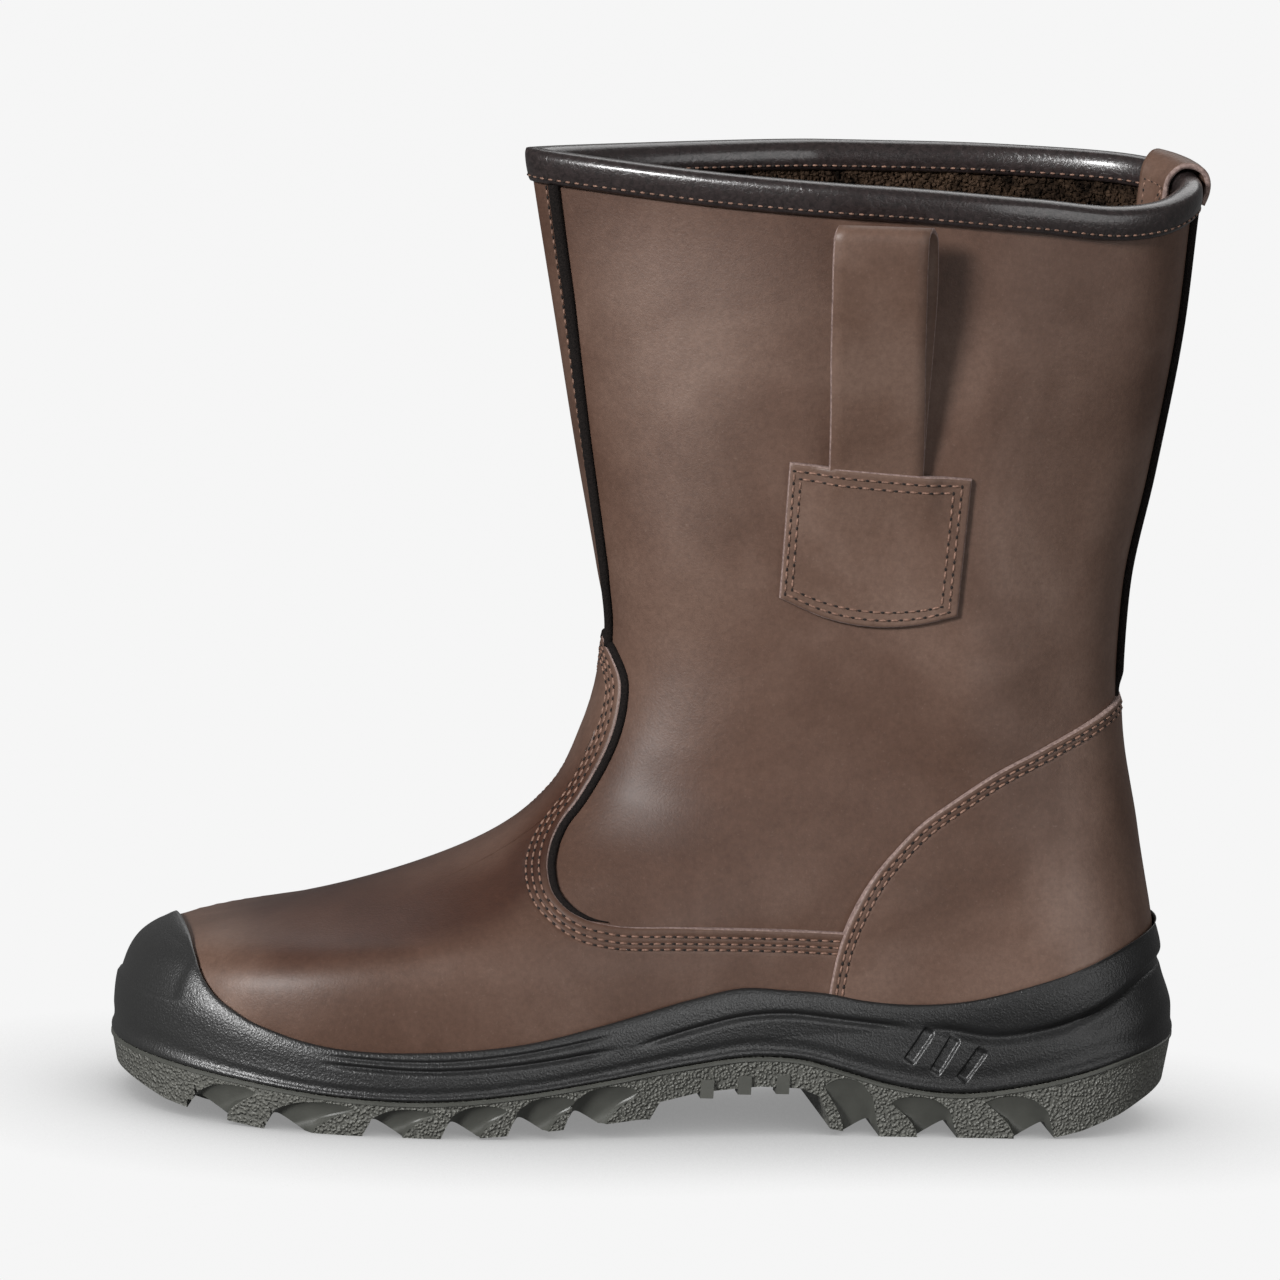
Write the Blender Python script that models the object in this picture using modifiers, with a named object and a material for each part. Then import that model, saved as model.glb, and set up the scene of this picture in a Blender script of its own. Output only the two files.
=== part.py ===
"""Tall pull-on safety boot for the left foot: toe at -X, heel at +X, outer side of the foot at -Y.

The boot stands on z = 0. Every leather piece comes from one surface function, skin(turn, level), that
runs through the sections of the last and the shaft in SECTIONS. Tables are in millimetres, and
add_mesh turns points into metres.
"""

from math import pi

import bpy
import numpy as np

METRES = 0.001
AROUND = 44  # points around the boot in every loop
CLEAR = 0.3  # gap between neighbouring pieces
LATERAL, MEDIAL = -1, 1

# Sections of the last and the shaft, from the feather line to just above the collar. Each is a closed loop
# on a plane through its front and back points. ball, waist and heel are half widths, front_round and
# back_round the lengths over which the ends close, swing the share of the last's sideways curve, and
# front_blunt how round the front is: it narrows to a fold at the top of the shaft.
SECTION_COLUMNS = (
    "front_x", "front_z", "back_x", "back_z", "ball", "waist", "heel", "front_round", "back_round", "swing",
    "front_blunt",
)
SECTIONS = np.array([
    (-149.0, 25.0, 149.0, 32.0, 47.5, 32.5, 33.0, 70.0, 40.0, 1.0, 2.2),
    (-148.5, 34.0, 147.9, 42.0, 49.0, 34.0, 34.5, 66.0, 40.0, 1.0, 2.2),
    (-144.5, 43.0, 146.8, 52.0, 48.3, 34.3, 34.5, 66.0, 40.0, 1.0, 2.2),
    (-135.5, 47.8, 145.2, 62.0, 46.0, 34.2, 34.0, 72.0, 42.0, 1.0, 2.2),
    (-116.0, 51.6, 143.2, 71.0, 43.3, 34.5, 33.5, 72.0, 44.0, 0.95, 2.2),
    (-91.0, 58.6, 141.0, 81.0, 39.3, 34.6, 33.0, 70.0, 46.0, 0.85, 2.2),
    (-67.0, 67.5, 139.0, 91.0, 36.5, 34.6, 32.5, 66.0, 48.0, 0.7, 2.2),
    (-46.0, 78.0, 136.9, 100.0, 34.5, 34.6, 31.5, 62.0, 50.0, 0.5, 2.2),
    (-31.0, 91.0, 134.9, 109.0, 33.2, 34.6, 31.0, 58.0, 52.0, 0.35, 2.2),
    (-22.0, 109.5, 133.3, 120.0, 33.2, 34.8, 30.5, 56.0, 54.0, 0.2, 2.2),
    (-17.5, 128.0, 132.6, 133.0, 34.0, 35.0, 30.5, 56.0, 56.0, 0.1, 2.2),
    (-17.7, 142.0, 132.6, 146.0, 35.0, 35.6, 31.0, 58.0, 58.0, 0.0, 2.2),
    (-21.2, 158.0, 133.2, 160.0, 36.0, 36.4, 32.0, 62.0, 60.0, 0.0, 2.2),
    (-29.2, 192.0, 138.4, 192.0, 38.0, 38.0, 34.5, 74.0, 66.0, 0.0, 1.9),
    (-38.2, 234.0, 144.0, 234.0, 40.0, 40.0, 37.0, 84.0, 72.0, 0.0, 1.55),
    (-46.2, 272.0, 146.4, 272.0, 41.0, 41.0, 39.0, 90.0, 80.0, 0.0, 1.35),
    (-48.6, 284.0, 147.2, 284.0, 41.6, 41.6, 39.6, 90.0, 80.0, 0.0, 1.35),
])
LEVELS = (SECTIONS[:, 1] + SECTIONS[:, 3]) / 2  # a section's level is its mean height
BALL_AT, WAIST_AT, HEEL_AT = 0.25, 0.65, 0.88  # shares of a section's length from its front
BACK_BLUNT = 2.2
COLLAR_LEVEL = 276.0
FLAT_LEVEL = 48.0  # sections from here up are plane

# The slack collar: turn round the shaft and how far the top edge drops there, fading out down to SLACK_FROM
COLLAR_DROP = (
    (0, 0.6), (0.6, 1.0), (1.05, 2.1), (1.68, 3.5), (2.04, 5.6), (2.38, 8.1), (2.62, 7.2), (2.88, 4.4),
    (3.14, 2.4), (3.6, 0.2), (4.2, 0.3), (4.6, 0.8), (5.3, 1.6), (6.283, 0.6),
)
SLACK_FROM = 200.0

# x and height of the bed that the foot stands on, and x and sideways shift of the last's centre line
BED = ((-150, 25), (-110, 18), (-70, 15.5), (-30, 19.5), (0, 24.5), (30, 29), (70, 31.5), (150, 32))
SWING = ((-150, 4), (-100, 0), (-75, -2), (-40, -4.5), (-10, -5), (20, -3.5), (60, -1.5), (110, 0), (150, 0))

WALL = 2.8  # the upper's leather with its lining
PANEL_START = 31.5  # lowest level of the overlay panels, just above the feather line
UPPER_LEVELS = sorted((*LEVELS[:-1], PANEL_START, 59.0, 74.7, COLLAR_LEVEL))
PANEL_LEVELS = [level for level in UPPER_LEVELS if PANEL_START <= level <= LEVELS[11]]

# Overlays: leather panels of this thickness on the upper, cut to outlines of x and height seen from the side
PANEL = 1.6
VAMP_EDGE = (
    (50.0, 59.6), (39.2, 60.3), (1.0, 61.5), (-20.2, 61.9), (-26.0, 62.9), (-32.0, 65.8), (-34.8, 69.2),
    (-35.4, 74.0), (-33.5, 80.1), (-30.5, 85.2), (-24.8, 92.6), (-18.5, 104.6), (-15.5, 113.0),
    (-14.0, 121.0), (-13.9, 128.0), (-15.7, 133.6), (-18.9, 139.2),
)
COUNTER_EDGE = (
    (45.5, 10.0), (47.1, 42.0), (50.0, 58.0), (52.3, 64.6), (55.4, 71.1), (59.5, 77.7), (64.7, 84.2),
    (71.4, 91.4), (81.6, 99.2), (92.3, 106.5), (107.0, 113.6), (118.4, 119.0), (129.0, 124.0), (142.0, 129.5),
)
PATCH_OUTLINE = (
    (27.0, 197.0), (80.0, 193.8), (78.4, 153.4), (67.0, 150.4), (55.0, 149.4), (41.0, 151.4), (26.4, 157.2),
)

# Midsole: x and height of its top edge and of the parting line under it, then its wall from the parting line
# over the rim and down the inside: share of the height, and distance out from the upper's surface
TOP_EDGE = (
    (-146, 64), (-137.8, 52), (-135, 44.5), (-130.4, 38.4), (-125, 34), (-112, 28.7), (-100, 26), (-86, 25),
    (-67, 25.7), (-43, 28.5), (-20, 34), (5, 40.8), (21, 43.9), (34, 43.2), (46, 42.4), (58, 40.4),
    (86, 40.5), (110, 46.4), (122, 50.6), (135, 56.2), (150, 61.6),
)
PARTING = (
    (-156, 17.6), (-125, 14.2), (-94, 11.3), (-74, 10.9), (-43, 13.8), (-22, 17.1), (5, 21.6), (27, 23.8),
    (40, 22.9), (52, 19.8), (66, 16), (87, 13.5), (105, 15.7), (124, 20.1), (139, 24.3), (156, 28),
)
MIDSOLE_WALL = (
    ("parting", 0.0, 6.0),
    ("lip", 0.14, 6.3),
    ("lower band", 0.34, 6.0),
    ("groove", 0.5, 4.9),
    ("upper band", 0.72, 5.4),
    ("shoulder", 0.92, 4.7),
    ("edge", 1.0, 3.7),
    ("rim", 1.0, 2.7),
)
CAVITY = 2.7  # from the upper's surface to the midsole's inside, which clears the panels
CAVITY_SHARES = (0.95, 0.86, 0.7, 0.35)

# Outsole: x and height of the tread, the arch cut through it, the notches between lugs and the waist ribs
TREAD = (
    (-156, 9.5), (-143, 4.2), (-130, 1.6), (-116, 0), (-62, 0), (-49, 1.0), (-32, 2.8), (-8, 5.6), (20, 5.6),
    (50, 2), (62, 0), (114, 0), (124, 2.2), (136, 6.4), (143, 9.7), (156, 15),
)
TREAD_INSET = 1.6  # the tread's edge lies this far inside the parting line
ARCH = (
    (-6, -3), (-4.5, 6), (-2, 10.8), (10, 13.4), (28, 14.8), (40, 14.2), (46, 11.8), (49, 5), (51, -3),
)
NOTCHES = (
    # x of the notch's top, reach along x to the tip of the leaf-shaped scoop over the next lug
    (-134.0, 14.0), (-113.0, 20.0), (-85.5, 16.0), (-63.0, 15.0), (-43.5, 16.0), (-27.0, 17.0),
    (61.0, -13.0), (84.0, -16.0), (113.0, -17.0),
)
NOTCH_TALL, NOTCH_STEEP, NOTCH_SLANT = 4.6, 3.2, 8.5  # height, lengths of its steep and its slanted side
NOTCH_TIP_UNDER_PARTING = 2.6
NOTCH_DEEP = 26.0
CENTRE_GROOVES = (
    # first x, last x, first y, last y, height of the groove's roof
    (-122.0, -9.0, -5.0, 1.0, 3.4),
    (57.0, 127.0, -3.0, 3.0, 3.4),
)
RIBS_AT = (11.9, 23.2, 34.6)
RIB_WIDE, RIB_TALL, RIB_HANG, RIB_PROUD = 3.8, 5.5, 1.8, 0.8

INSOLE_THICK, INSOLE_CLEAR = 4.0, 0.6

# Collar binding: its cross-section over the upper's top edge, as distance out from the upper and height
# before the collar's drop. At the front fold its outer leg thins to TIP_SHARE of its thickness.
BINDING = (
    (0.6, 271.8), (2.0, 271.8), (2.7, 275.5), (2.2, 278.8), (0.2, 280.8), (-3.0, 280.8), (-5.0, 278.6),
    (-5.4, 275.2), (-4.8, 272.6), (-3.6, 272.6), (-3.6, 277.1), (0.6, 277.1),
)
BINDING_GAP, TIP_SHARE, TIP_HALF_TURN = 0.6, 0.4, 0.3

PIPING_RADIUS = 1.4
PIPING_TOP = 270.4
# Level and turn of the front seam
FRONT_SEAM = ((141.5, 0.12), (160, 0.2), (184, 0.25), (206, 0.28), (238, 0.32), (272, 0.34))
BACK_SEAM_TURN, BACK_SEAM_START = pi - 0.1, 132.5

# Pull strap: a ribbon around x = STRAP_X. Each row gives a shift along x, the distance out from the shaft and
# the height, from the lower end of the inner layer over the fold to the lower end of the outer layer.
STRAP_X, STRAP_WIDE, STRAP_THICK = 50.0, 27.0, 1.7
STRAP_PATH = (
    (1.8, 1.6, 197.8), (1.6, 3.2, 212), (1.4, 6.4, 232), (1.0, 9.2, 252), (0.4, 10.2, 261),
    (-0.6, 11.6, 266.4), (-2.0, 13.6, 267.8), (-3.2, 15.4, 266.2), (-3.4, 15.8, 261), (-2.8, 14.6, 248),
    (-1.4, 10.4, 230), (0.4, 6.4, 212), (1.6, 4.0, 197.8),
)

# Back tab: a strip over the binding, as distance out from the upper and height before the collar's drop, from
# the inside to the outside
TAB_TURN, TAB_HALF_TURN, TAB_THICK = pi + 0.2, 0.18, 1.7
TAB_PATH = (
    (-7.4, 262.0), (-7.4, 274.0), (-6.8, 279.6), (-3.6, 282.9), (0.4, 283.0), (3.6, 281.2), (5.0, 278.0),
    (4.9, 275.0), (4.2, 272.6),
)


def clear_scene():
    for obj in list(bpy.data.objects):
        bpy.data.objects.remove(obj)


def add_collection(name):
    collection = bpy.data.collections.new(name)
    bpy.context.scene.collection.children.link(collection)
    return collection


def add_material(name, colour, roughness):
    material = bpy.data.materials.new(name)
    material.use_nodes = True
    shader = material.node_tree.nodes["Principled BSDF"]
    shader.inputs["Base Color"].default_value = (*colour, 1.0)
    shader.inputs["Roughness"].default_value = roughness
    return material


def add_mesh(collection, name, points, faces, material):
    """A mesh object from points in millimetres."""
    mesh = bpy.data.meshes.new(name)
    mesh.from_pydata((np.asarray(points, float) * METRES).tolist(), [], [tuple(face) for face in faces])
    mesh.update()
    obj = bpy.data.objects.new(name, mesh)
    obj.data.materials.append(material)
    collection.objects.link(obj)
    return obj


def as_cutter(obj):
    obj.hide_render = True
    obj.display_type = "WIRE"
    return obj


def add_boolean(obj, cutter, operation):
    boolean = obj.modifiers.new(operation.lower() + "_" + cutter.name, "BOOLEAN")
    boolean.operation = operation
    boolean.solver = "EXACT"
    boolean.object = cutter


def add_thickness(obj, thickness, offset):
    solidify = obj.modifiers.new("thickness", "SOLIDIFY")
    solidify.thickness = thickness * METRES
    solidify.offset = offset
    solidify.use_even_offset = True


def through(knots, values, at):
    """A smooth curve through the values at the knots, held level beyond the ends."""
    knots, values, at = np.asarray(knots, float), np.asarray(values, float), np.asarray(at, float)
    step = np.diff(knots).reshape((-1,) + (1,) * (values.ndim - 1))
    slope = np.diff(values, axis=0) / step
    tangent = np.empty_like(values)
    tangent[0], tangent[-1] = slope[0], slope[-1]
    tangent[1:-1] = (step[1:] * slope[:-1] + step[:-1] * slope[1:]) / (step[1:] + step[:-1])
    left = np.clip(np.searchsorted(knots, at, side="right") - 1, 0, len(knots) - 2)
    wide = knots[left + 1] - knots[left]
    share = np.clip((at - knots[left]) / wide, 0, 1)
    if values.ndim > 1:
        wide, share = wide[..., None], share[..., None]
    rise = share * share * (3 - 2 * share)
    return (
        (1 - rise) * values[left]
        + rise * values[left + 1]
        + wide * share * (1 - share) * ((1 - share) * tangent[left] - share * tangent[left + 1])
    )


def read(table, at):
    rows = np.array(table, float)
    return through(rows[:, 0], rows[:, 1], at)


def straight(table, at):
    rows = np.array(table, float)
    return np.interp(at, rows[:, 0], rows[:, 1])


def rounded_end(distance, length, blunt):
    """Share of the full half width at a distance from a loop's end."""
    left = np.clip(1 - distance / length, 0, 1)
    return (1 - left**blunt) ** (1 / blunt)


def ease(value, start, end):
    share = np.clip((value - start) / (end - start), 0, 1)
    return share * share * (3 - 2 * share)


def collar_drop(turn):
    return read(COLLAR_DROP, np.mod(turn, 2 * pi))


def skin(turn, level):
    """Point of the upper's outer surface. turn runs from the front round the lateral side to the back."""
    turn, level = np.broadcast_arrays(np.asarray(turn, float), np.asarray(level, float))
    row = dict(zip(SECTION_COLUMNS, np.moveaxis(through(LEVELS, SECTIONS, level), -1, 0)))
    along = (1 - np.cos(turn)) / 2
    length = row["back_x"] - row["front_x"]
    x = row["front_x"] + along * length
    z = row["front_z"] + along * (row["back_z"] - row["front_z"])
    half = row["ball"] + ease(along, BALL_AT, WAIST_AT) * (row["waist"] - row["ball"])
    half = half + ease(along, WAIST_AT, HEEL_AT) * (row["heel"] - row["waist"])
    half = half * rounded_end(along * length, row["front_round"], row["front_blunt"])
    half = half * rounded_end((1 - along) * length, row["back_round"], BACK_BLUNT)
    y = read(SWING, x) * row["swing"] - np.where(np.sin(turn) >= 0, 1, -1) * half
    feather = SECTIONS[0, 1] + along * (SECTIONS[0, 3] - SECTIONS[0, 1])
    near_bed = np.clip((FLAT_LEVEL - level) / (FLAT_LEVEL - LEVELS[0]), 0, 1) ** 1.5
    z = z + near_bed * (read(BED, x) - feather) - collar_drop(turn) * ease(level, SLACK_FROM, COLLAR_LEVEL)
    return np.stack([x, y, z], axis=-1)


def outward(turn, level):
    """Unit normal of the upper's surface."""
    turn, level = np.broadcast_arrays(np.asarray(turn, float), np.asarray(level, float))
    around = skin(turn + 0.001, level) - skin(turn - 0.001, level)
    up = skin(turn, np.minimum(level + 0.2, LEVELS[-1])) - skin(turn, np.maximum(level - 0.2, LEVELS[0]))
    normal = np.cross(around, up)
    return normal / np.linalg.norm(normal, axis=-1, keepdims=True)


def lifted(turn, level, lift):
    return skin(turn, level) + np.asarray(lift, float)[..., None] * outward(turn, level)


TURNS = np.linspace(0, 2 * pi, AROUND, endpoint=False)


def level_where(turn, wanted):
    """The level on each turn at which the surface reaches the height wanted(x)."""
    low = np.full(len(turn), LEVELS[0])
    high = np.full(len(turn), LEVELS[8])
    for _ in range(40):
        middle = (low + high) / 2
        point = skin(turn, middle)
        above = point[:, 2] > wanted(point[:, 0])
        high = np.where(above, middle, high)
        low = np.where(above, low, middle)
    return (low + high) / 2


def wall_ring(height, lift):
    """A loop around the sole, out from the upper's surface, at each point's own height.

    Below the feather line the wall goes straight down from it.
    """
    feather = skin(TURNS, LEVELS[0])
    level = level_where(TURNS, lambda x: height)
    ring = lifted(TURNS, level, np.full(AROUND, lift))
    normal = outward(TURNS, LEVELS[0])
    normal[:, 2] = 0
    normal /= np.linalg.norm(normal, axis=1, keepdims=True)
    straight_down = feather + lift * normal
    straight_down[:, 2] = height
    return np.where((height < feather[:, 2])[:, None], straight_down, ring)


def strip_cap(first, facing_up):
    """Faces that close a loop of AROUND points with strips from the lateral side to the medial."""
    half = AROUND // 2
    faces = []
    for i in range(half):
        corners = (i, i + 1, (AROUND - i - 1) % AROUND, (AROUND - i) % AROUND)
        face = list(dict.fromkeys(corners))
        if not facing_up:
            face.reverse()
        faces.append([first + corner for corner in face])
    return faces


def band_faces(low, high, count=AROUND, closed=True):
    """Faces between two loops that start at these point numbers."""
    faces = []
    for i in range(count if closed else count - 1):
        j = (i + 1) % count
        faces.append((low + i, low + j, high + j, high + i))
    return faces


def split(quads):
    """Each quad as two triangles along the same diagonal, so that lifted copies of a sheet stay parallel."""
    return [face for a, b, c, d in quads for face in ((a, b, c), (a, c, d))]


def ring_solid(collection, name, rings, material):
    """A solid from loops, up the outside first, closed by strips at its first and last loop."""
    faces = strip_cap(0, facing_up=False)
    for number in range(len(rings) - 1):
        faces += band_faces(number * AROUND, (number + 1) * AROUND)
    faces += strip_cap((len(rings) - 1) * AROUND, facing_up=True)
    return add_mesh(collection, name, np.concatenate(rings), faces, material)


def skin_sheet(collection, name, turns, levels, lift, material, closed):
    """An open sheet of the surface, ready for a thickness."""
    grid_turn, grid_level = np.meshgrid(turns, levels)
    points = lifted(grid_turn, grid_level, np.full(grid_turn.shape, lift))
    count = len(turns)
    faces = []
    for row in range(len(levels) - 1):
        faces += split(band_faces(row * count, (row + 1) * count, count, closed))
    return add_mesh(collection, name, points.reshape(-1, 3), faces, material)


def side_prism(collection, name, outline, near, far, material):
    """A closed prism across the boot with this outline of x and height."""
    outline = np.array(outline, float)
    x, z = outline[:, 0], outline[:, 1]
    turning = np.sum(x * np.roll(z, -1) - np.roll(x, -1) * z)
    if turning < 0:
        outline = outline[::-1]
    count = len(outline)
    points = [(x, y, z) for y in (near, far) for x, z in outline]
    faces = [tuple(range(count)), tuple(range(2 * count - 1, count - 1, -1))]
    faces += [(i, i + count, (i + 1) % count + count, (i + 1) % count) for i in range(count)]
    return as_cutter(add_mesh(collection, name, points, faces, material))


def make_upper(parts, material):
    upper = skin_sheet(parts, "upper", TURNS, UPPER_LEVELS, 0.0, material, closed=True)
    add_thickness(upper, WALL, -1)


def make_panel(parts, cutters, name, outline, material):
    """A panel round the foot: the surface lifted clear of the upper, thickened and cut to its outline."""
    panel = skin_sheet(parts, name, TURNS, PANEL_LEVELS, CLEAR, material, closed=True)
    add_thickness(panel, PANEL, 1)
    cutter = side_prism(cutters, name + "_outline", outline, -90, 90, material)
    add_boolean(panel, cutter, "INTERSECT")


def make_vamp(parts, cutters, material):
    rear = COUNTER_EDGE[:2] + VAMP_EDGE
    outline = rear + ((-24.0, 139.6), (-60.0, 139.6), (-175.0, 100.0), (-175.0, 0.0), (45.0, 0.0))
    make_panel(parts, cutters, "vamp", outline, material)


def make_counter(parts, cutters, material):
    edge = tuple((x + 0.4, z) for x, z in COUNTER_EDGE)
    outline = edge + ((170.0, 134.0), (170.0, 0.0), (45.8, 0.0))
    make_panel(parts, cutters, "counter", outline, material)


def make_patch(parts, cutters, name, side, material):
    """The stitched patch under a pull strap."""
    first, last = 7, 15
    turns = TURNS[first : last + 1]
    if side == MEDIAL:
        turns = (2 * pi - turns)[::-1]
    levels = (LEVELS[11], LEVELS[12], 175.0, LEVELS[13], 205.0)
    sheet = skin_sheet(parts, name, turns, levels, CLEAR, material, False)
    add_thickness(sheet, PANEL, 1)
    reach = sorted((0, side * 90))
    cutter = side_prism(cutters, name + "_outline", PATCH_OUTLINE, *reach, material)
    add_boolean(sheet, cutter, "INTERSECT")


def make_midsole(parts, material):
    feather = skin(TURNS, LEVELS[0])
    top_level = level_where(TURNS, lambda x: read(TOP_EDGE, x))
    top = skin(TURNS, top_level)[:, 2]
    bottom = read(PARTING, feather[:, 0])
    rings = []
    for _, share, lift in MIDSOLE_WALL:
        rings.append(wall_ring(bottom + share * (top - bottom), lift))
    rings[0][:, 2] = read(PARTING, rings[0][:, 0])
    floor = feather[:, 2] - 0.4
    for share in CAVITY_SHARES:
        rings.append(wall_ring(feather[:, 2] + share * (top - feather[:, 2]), CAVITY))
    rings.append(wall_ring(floor, CAVITY))
    ring_solid(parts, "midsole", rings, material)


def sole_side(x, side, lift):
    """y of the sole's wall at x on one side."""
    half = AROUND // 2
    ring = wall_ring(np.full(AROUND, 5.0), lift)
    points = ring[: half + 1] if side == LATERAL else np.roll(ring, -1, axis=0)[half - 1 :][::-1]
    return float(np.interp(x, points[:, 0], points[:, 1]))


def scoop_points(x, reach, side):
    """Three loops of a notch cutter: the scoop in the sole's side, its foot, and the notch's inner end."""
    base = float(straight(TREAD, x))
    tip = float(read(PARTING, x + reach)) - NOTCH_TIP_UNDER_PARTING - base
    crown = max(tip, NOTCH_TALL) + 0.8
    way = np.sign(reach)
    steep, slant = -way * NOTCH_STEEP, way * NOTCH_SLANT
    scoop = (
        (1.6 * steep, -3), (1.4 * slant, -3), (1.4 * slant, 1.5), (reach, tip), (0.55 * reach, crown),
        (0.1 * slant, 1.15 * NOTCH_TALL), (steep, 0),
    )
    notch = (
        (1.6 * steep, -3), (1.3 * slant, -3), (slant, 0), (0.6 * slant, 0.5 * NOTCH_TALL),
        (0.3 * slant, 0.85 * NOTCH_TALL), (0, NOTCH_TALL), (steep, 0),
    )
    points = []
    for out, loop in ((1.2, scoop), (-4.0, notch), (-NOTCH_DEEP, notch)):
        for dx, rise in loop:
            wall = sole_side(x + dx, side, MIDSOLE_WALL[0][2])
            points.append((x + dx, wall + side * out, base + rise))
    return points


def loft_faces(first, count, loops, flip):
    faces = [tuple(first + i for i in range(count))]
    for number in range(loops - 1):
        low = first + number * count
        high = low + count
        faces += [(low + (i + 1) % count, low + i, high + i, high + (i + 1) % count) for i in range(count)]
    last = first + (loops - 1) * count
    faces.append(tuple(last + i for i in reversed(range(count))))
    return [face[::-1] for face in faces] if flip else faces


def make_notch_cutter(cutters, material):
    points, faces = [], []
    for x, reach in NOTCHES:
        for side in (LATERAL, MEDIAL):
            loops = scoop_points(x, reach, side)
            faces += loft_faces(len(points), 7, 3, flip=(side == MEDIAL) != (reach < 0))
            points += loops
    return as_cutter(add_mesh(cutters, "notch_cutter", points, faces, material))


def add_blocks(cutters, name, blocks, material):
    """Upright blocks in one mesh, each from its first and last x, y and z."""
    sides = ((3, 2, 1, 0), (4, 5, 6, 7), (0, 1, 5, 4), (1, 2, 6, 5), (2, 3, 7, 6), (3, 0, 4, 7))
    points, faces = [], []
    for x0, x1, y0, y1, z0, z1 in blocks:
        faces += [tuple(len(points) + corner for corner in side) for side in sides]
        for z in (z0, z1):
            points += [(x0, y0, z), (x1, y0, z), (x1, y1, z), (x0, y1, z)]
    return as_cutter(add_mesh(cutters, name, points, faces, material))


def make_centre_grooves(cutters, material):
    blocks = [(x0, x1, y0, y1, -4.0, roof) for x0, x1, y0, y1, roof in CENTRE_GROOVES]
    return add_blocks(cutters, "centre_groove_cutter", blocks, material)


def make_rib_blocks(cutters, material):
    """Small upright ribs on the waist, joined to the outsole."""
    blocks = []
    for x in RIBS_AT:
        for side in (LATERAL, MEDIAL):
            outer = sole_side(x, side, MIDSOLE_WALL[0][2] - 0.6) + side * RIB_PROUD
            y0, y1 = sorted((outer, outer - side * 6))
            low = float(straight(ARCH, x)) - RIB_HANG
            blocks.append((x - RIB_WIDE / 2, x + RIB_WIDE / 2, y0, y1, low, low + RIB_TALL))
    return add_blocks(cutters, "waist_ribs", blocks, material)


def make_outsole(parts, cutters, material):
    lift = MIDSOLE_WALL[0][2]
    rings = []
    for inset in (TREAD_INSET, 0.0):
        rings.append(wall_ring(np.full(AROUND, 5.0), lift - inset))
    rings[0][:, 2] = straight(TREAD, rings[0][:, 0])
    rings[1][:, 2] = read(PARTING, rings[1][:, 0]) - CLEAR
    outsole = ring_solid(parts, "outsole", rings, material)
    arch = side_prism(cutters, "arch_cutter", ARCH, -90, 90, material)
    add_boolean(outsole, arch, "DIFFERENCE")
    add_boolean(outsole, make_notch_cutter(cutters, material), "DIFFERENCE")
    add_boolean(outsole, make_centre_grooves(cutters, material), "DIFFERENCE")
    add_boolean(outsole, make_rib_blocks(cutters, material), "UNION")


def make_insole(parts, material):
    """The footbed plate on the bed inside the upper."""
    low = skin(TURNS, LEVELS[0])
    normal = outward(TURNS, LEVELS[0])
    normal[:, 2] = 0
    normal /= np.linalg.norm(normal, axis=1, keepdims=True)
    rings = []
    for rise in (0.4, 0.4 + INSOLE_THICK):
        ring = low - (WALL + INSOLE_CLEAR) * normal
        ring[:, 2] = read(BED, low[:, 0]) + rise
        rings.append(ring)
    ring_solid(parts, "insole", rings, material)


def binding_lift(lift):
    """The binding's distance out around the collar, with its outer leg thinner at the front fold."""
    if lift <= BINDING_GAP:
        return np.full(AROUND, lift)
    at_fold = 1 - ease(np.minimum(TURNS, 2 * pi - TURNS), 0.0, TIP_HALF_TURN)
    return BINDING_GAP + (lift - BINDING_GAP) * (1 - (1 - TIP_SHARE) * at_fold)


def make_binding(parts, material):
    rings = [lifted(TURNS, np.full(AROUND, z), binding_lift(lift)) for lift, z in BINDING]
    for ring, (_, z) in zip(rings, BINDING):
        ring[:, 2] = z - collar_drop(TURNS)
    faces = []
    for number in range(len(rings)):
        faces += band_faces(number * AROUND, (number + 1) % len(rings) * AROUND)
    add_mesh(parts, "collar_binding", np.concatenate(rings), faces, material)


def make_piping(parts, name, turns, levels, material):
    """A cord lying on the upper along a seam."""
    turns, levels = np.asarray(turns, float), np.asarray(levels, float)
    normal = outward(turns, levels)
    path = skin(turns, levels) + (CLEAR + PIPING_RADIUS) * normal
    forward = np.gradient(path, axis=0)
    across = np.cross(normal, forward)
    across /= np.linalg.norm(across, axis=1, keepdims=True)
    sides = 8
    angle = np.linspace(0, 2 * pi, sides, endpoint=False)[None, :, None]
    around = np.cos(angle) * normal[:, None] + np.sin(angle) * across[:, None]
    points = path[:, None] + PIPING_RADIUS * around
    faces = [tuple(range(sides))]
    for row in range(len(path) - 1):
        faces += [face[::-1] for face in band_faces(row * sides, (row + 1) * sides, sides)]
    last = (len(path) - 1) * sides
    faces.append(tuple(last + i for i in reversed(range(sides))))
    add_mesh(parts, name, points.reshape(-1, 3), faces, material)


def shaft_side(x, height, side):
    """y of the upper's surface on the shaft, where a section's level is its height."""
    row = dict(zip(SECTION_COLUMNS, through(LEVELS, SECTIONS, height)))
    along = (x - row["front_x"]) / (row["back_x"] - row["front_x"])
    turn = np.arccos(1 - 2 * along)
    return float(skin(turn if side == LATERAL else 2 * pi - turn, height)[1])


def make_strap(parts, name, side, material):
    """A folded pull strap, flat across its width."""
    points = []
    for shift, out, height in STRAP_PATH:
        y = shaft_side(STRAP_X, height, side) + side * out
        for edge in (-0.5, 0.5):
            points.append((STRAP_X + shift + edge * STRAP_WIDE, y, height))
    rows = len(STRAP_PATH)
    faces = [(2 * i, 2 * i + 1, 2 * i + 3, 2 * i + 2) for i in range(rows - 1)]
    strap = add_mesh(parts, name, points, faces, material)
    add_thickness(strap, STRAP_THICK, 0)


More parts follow.
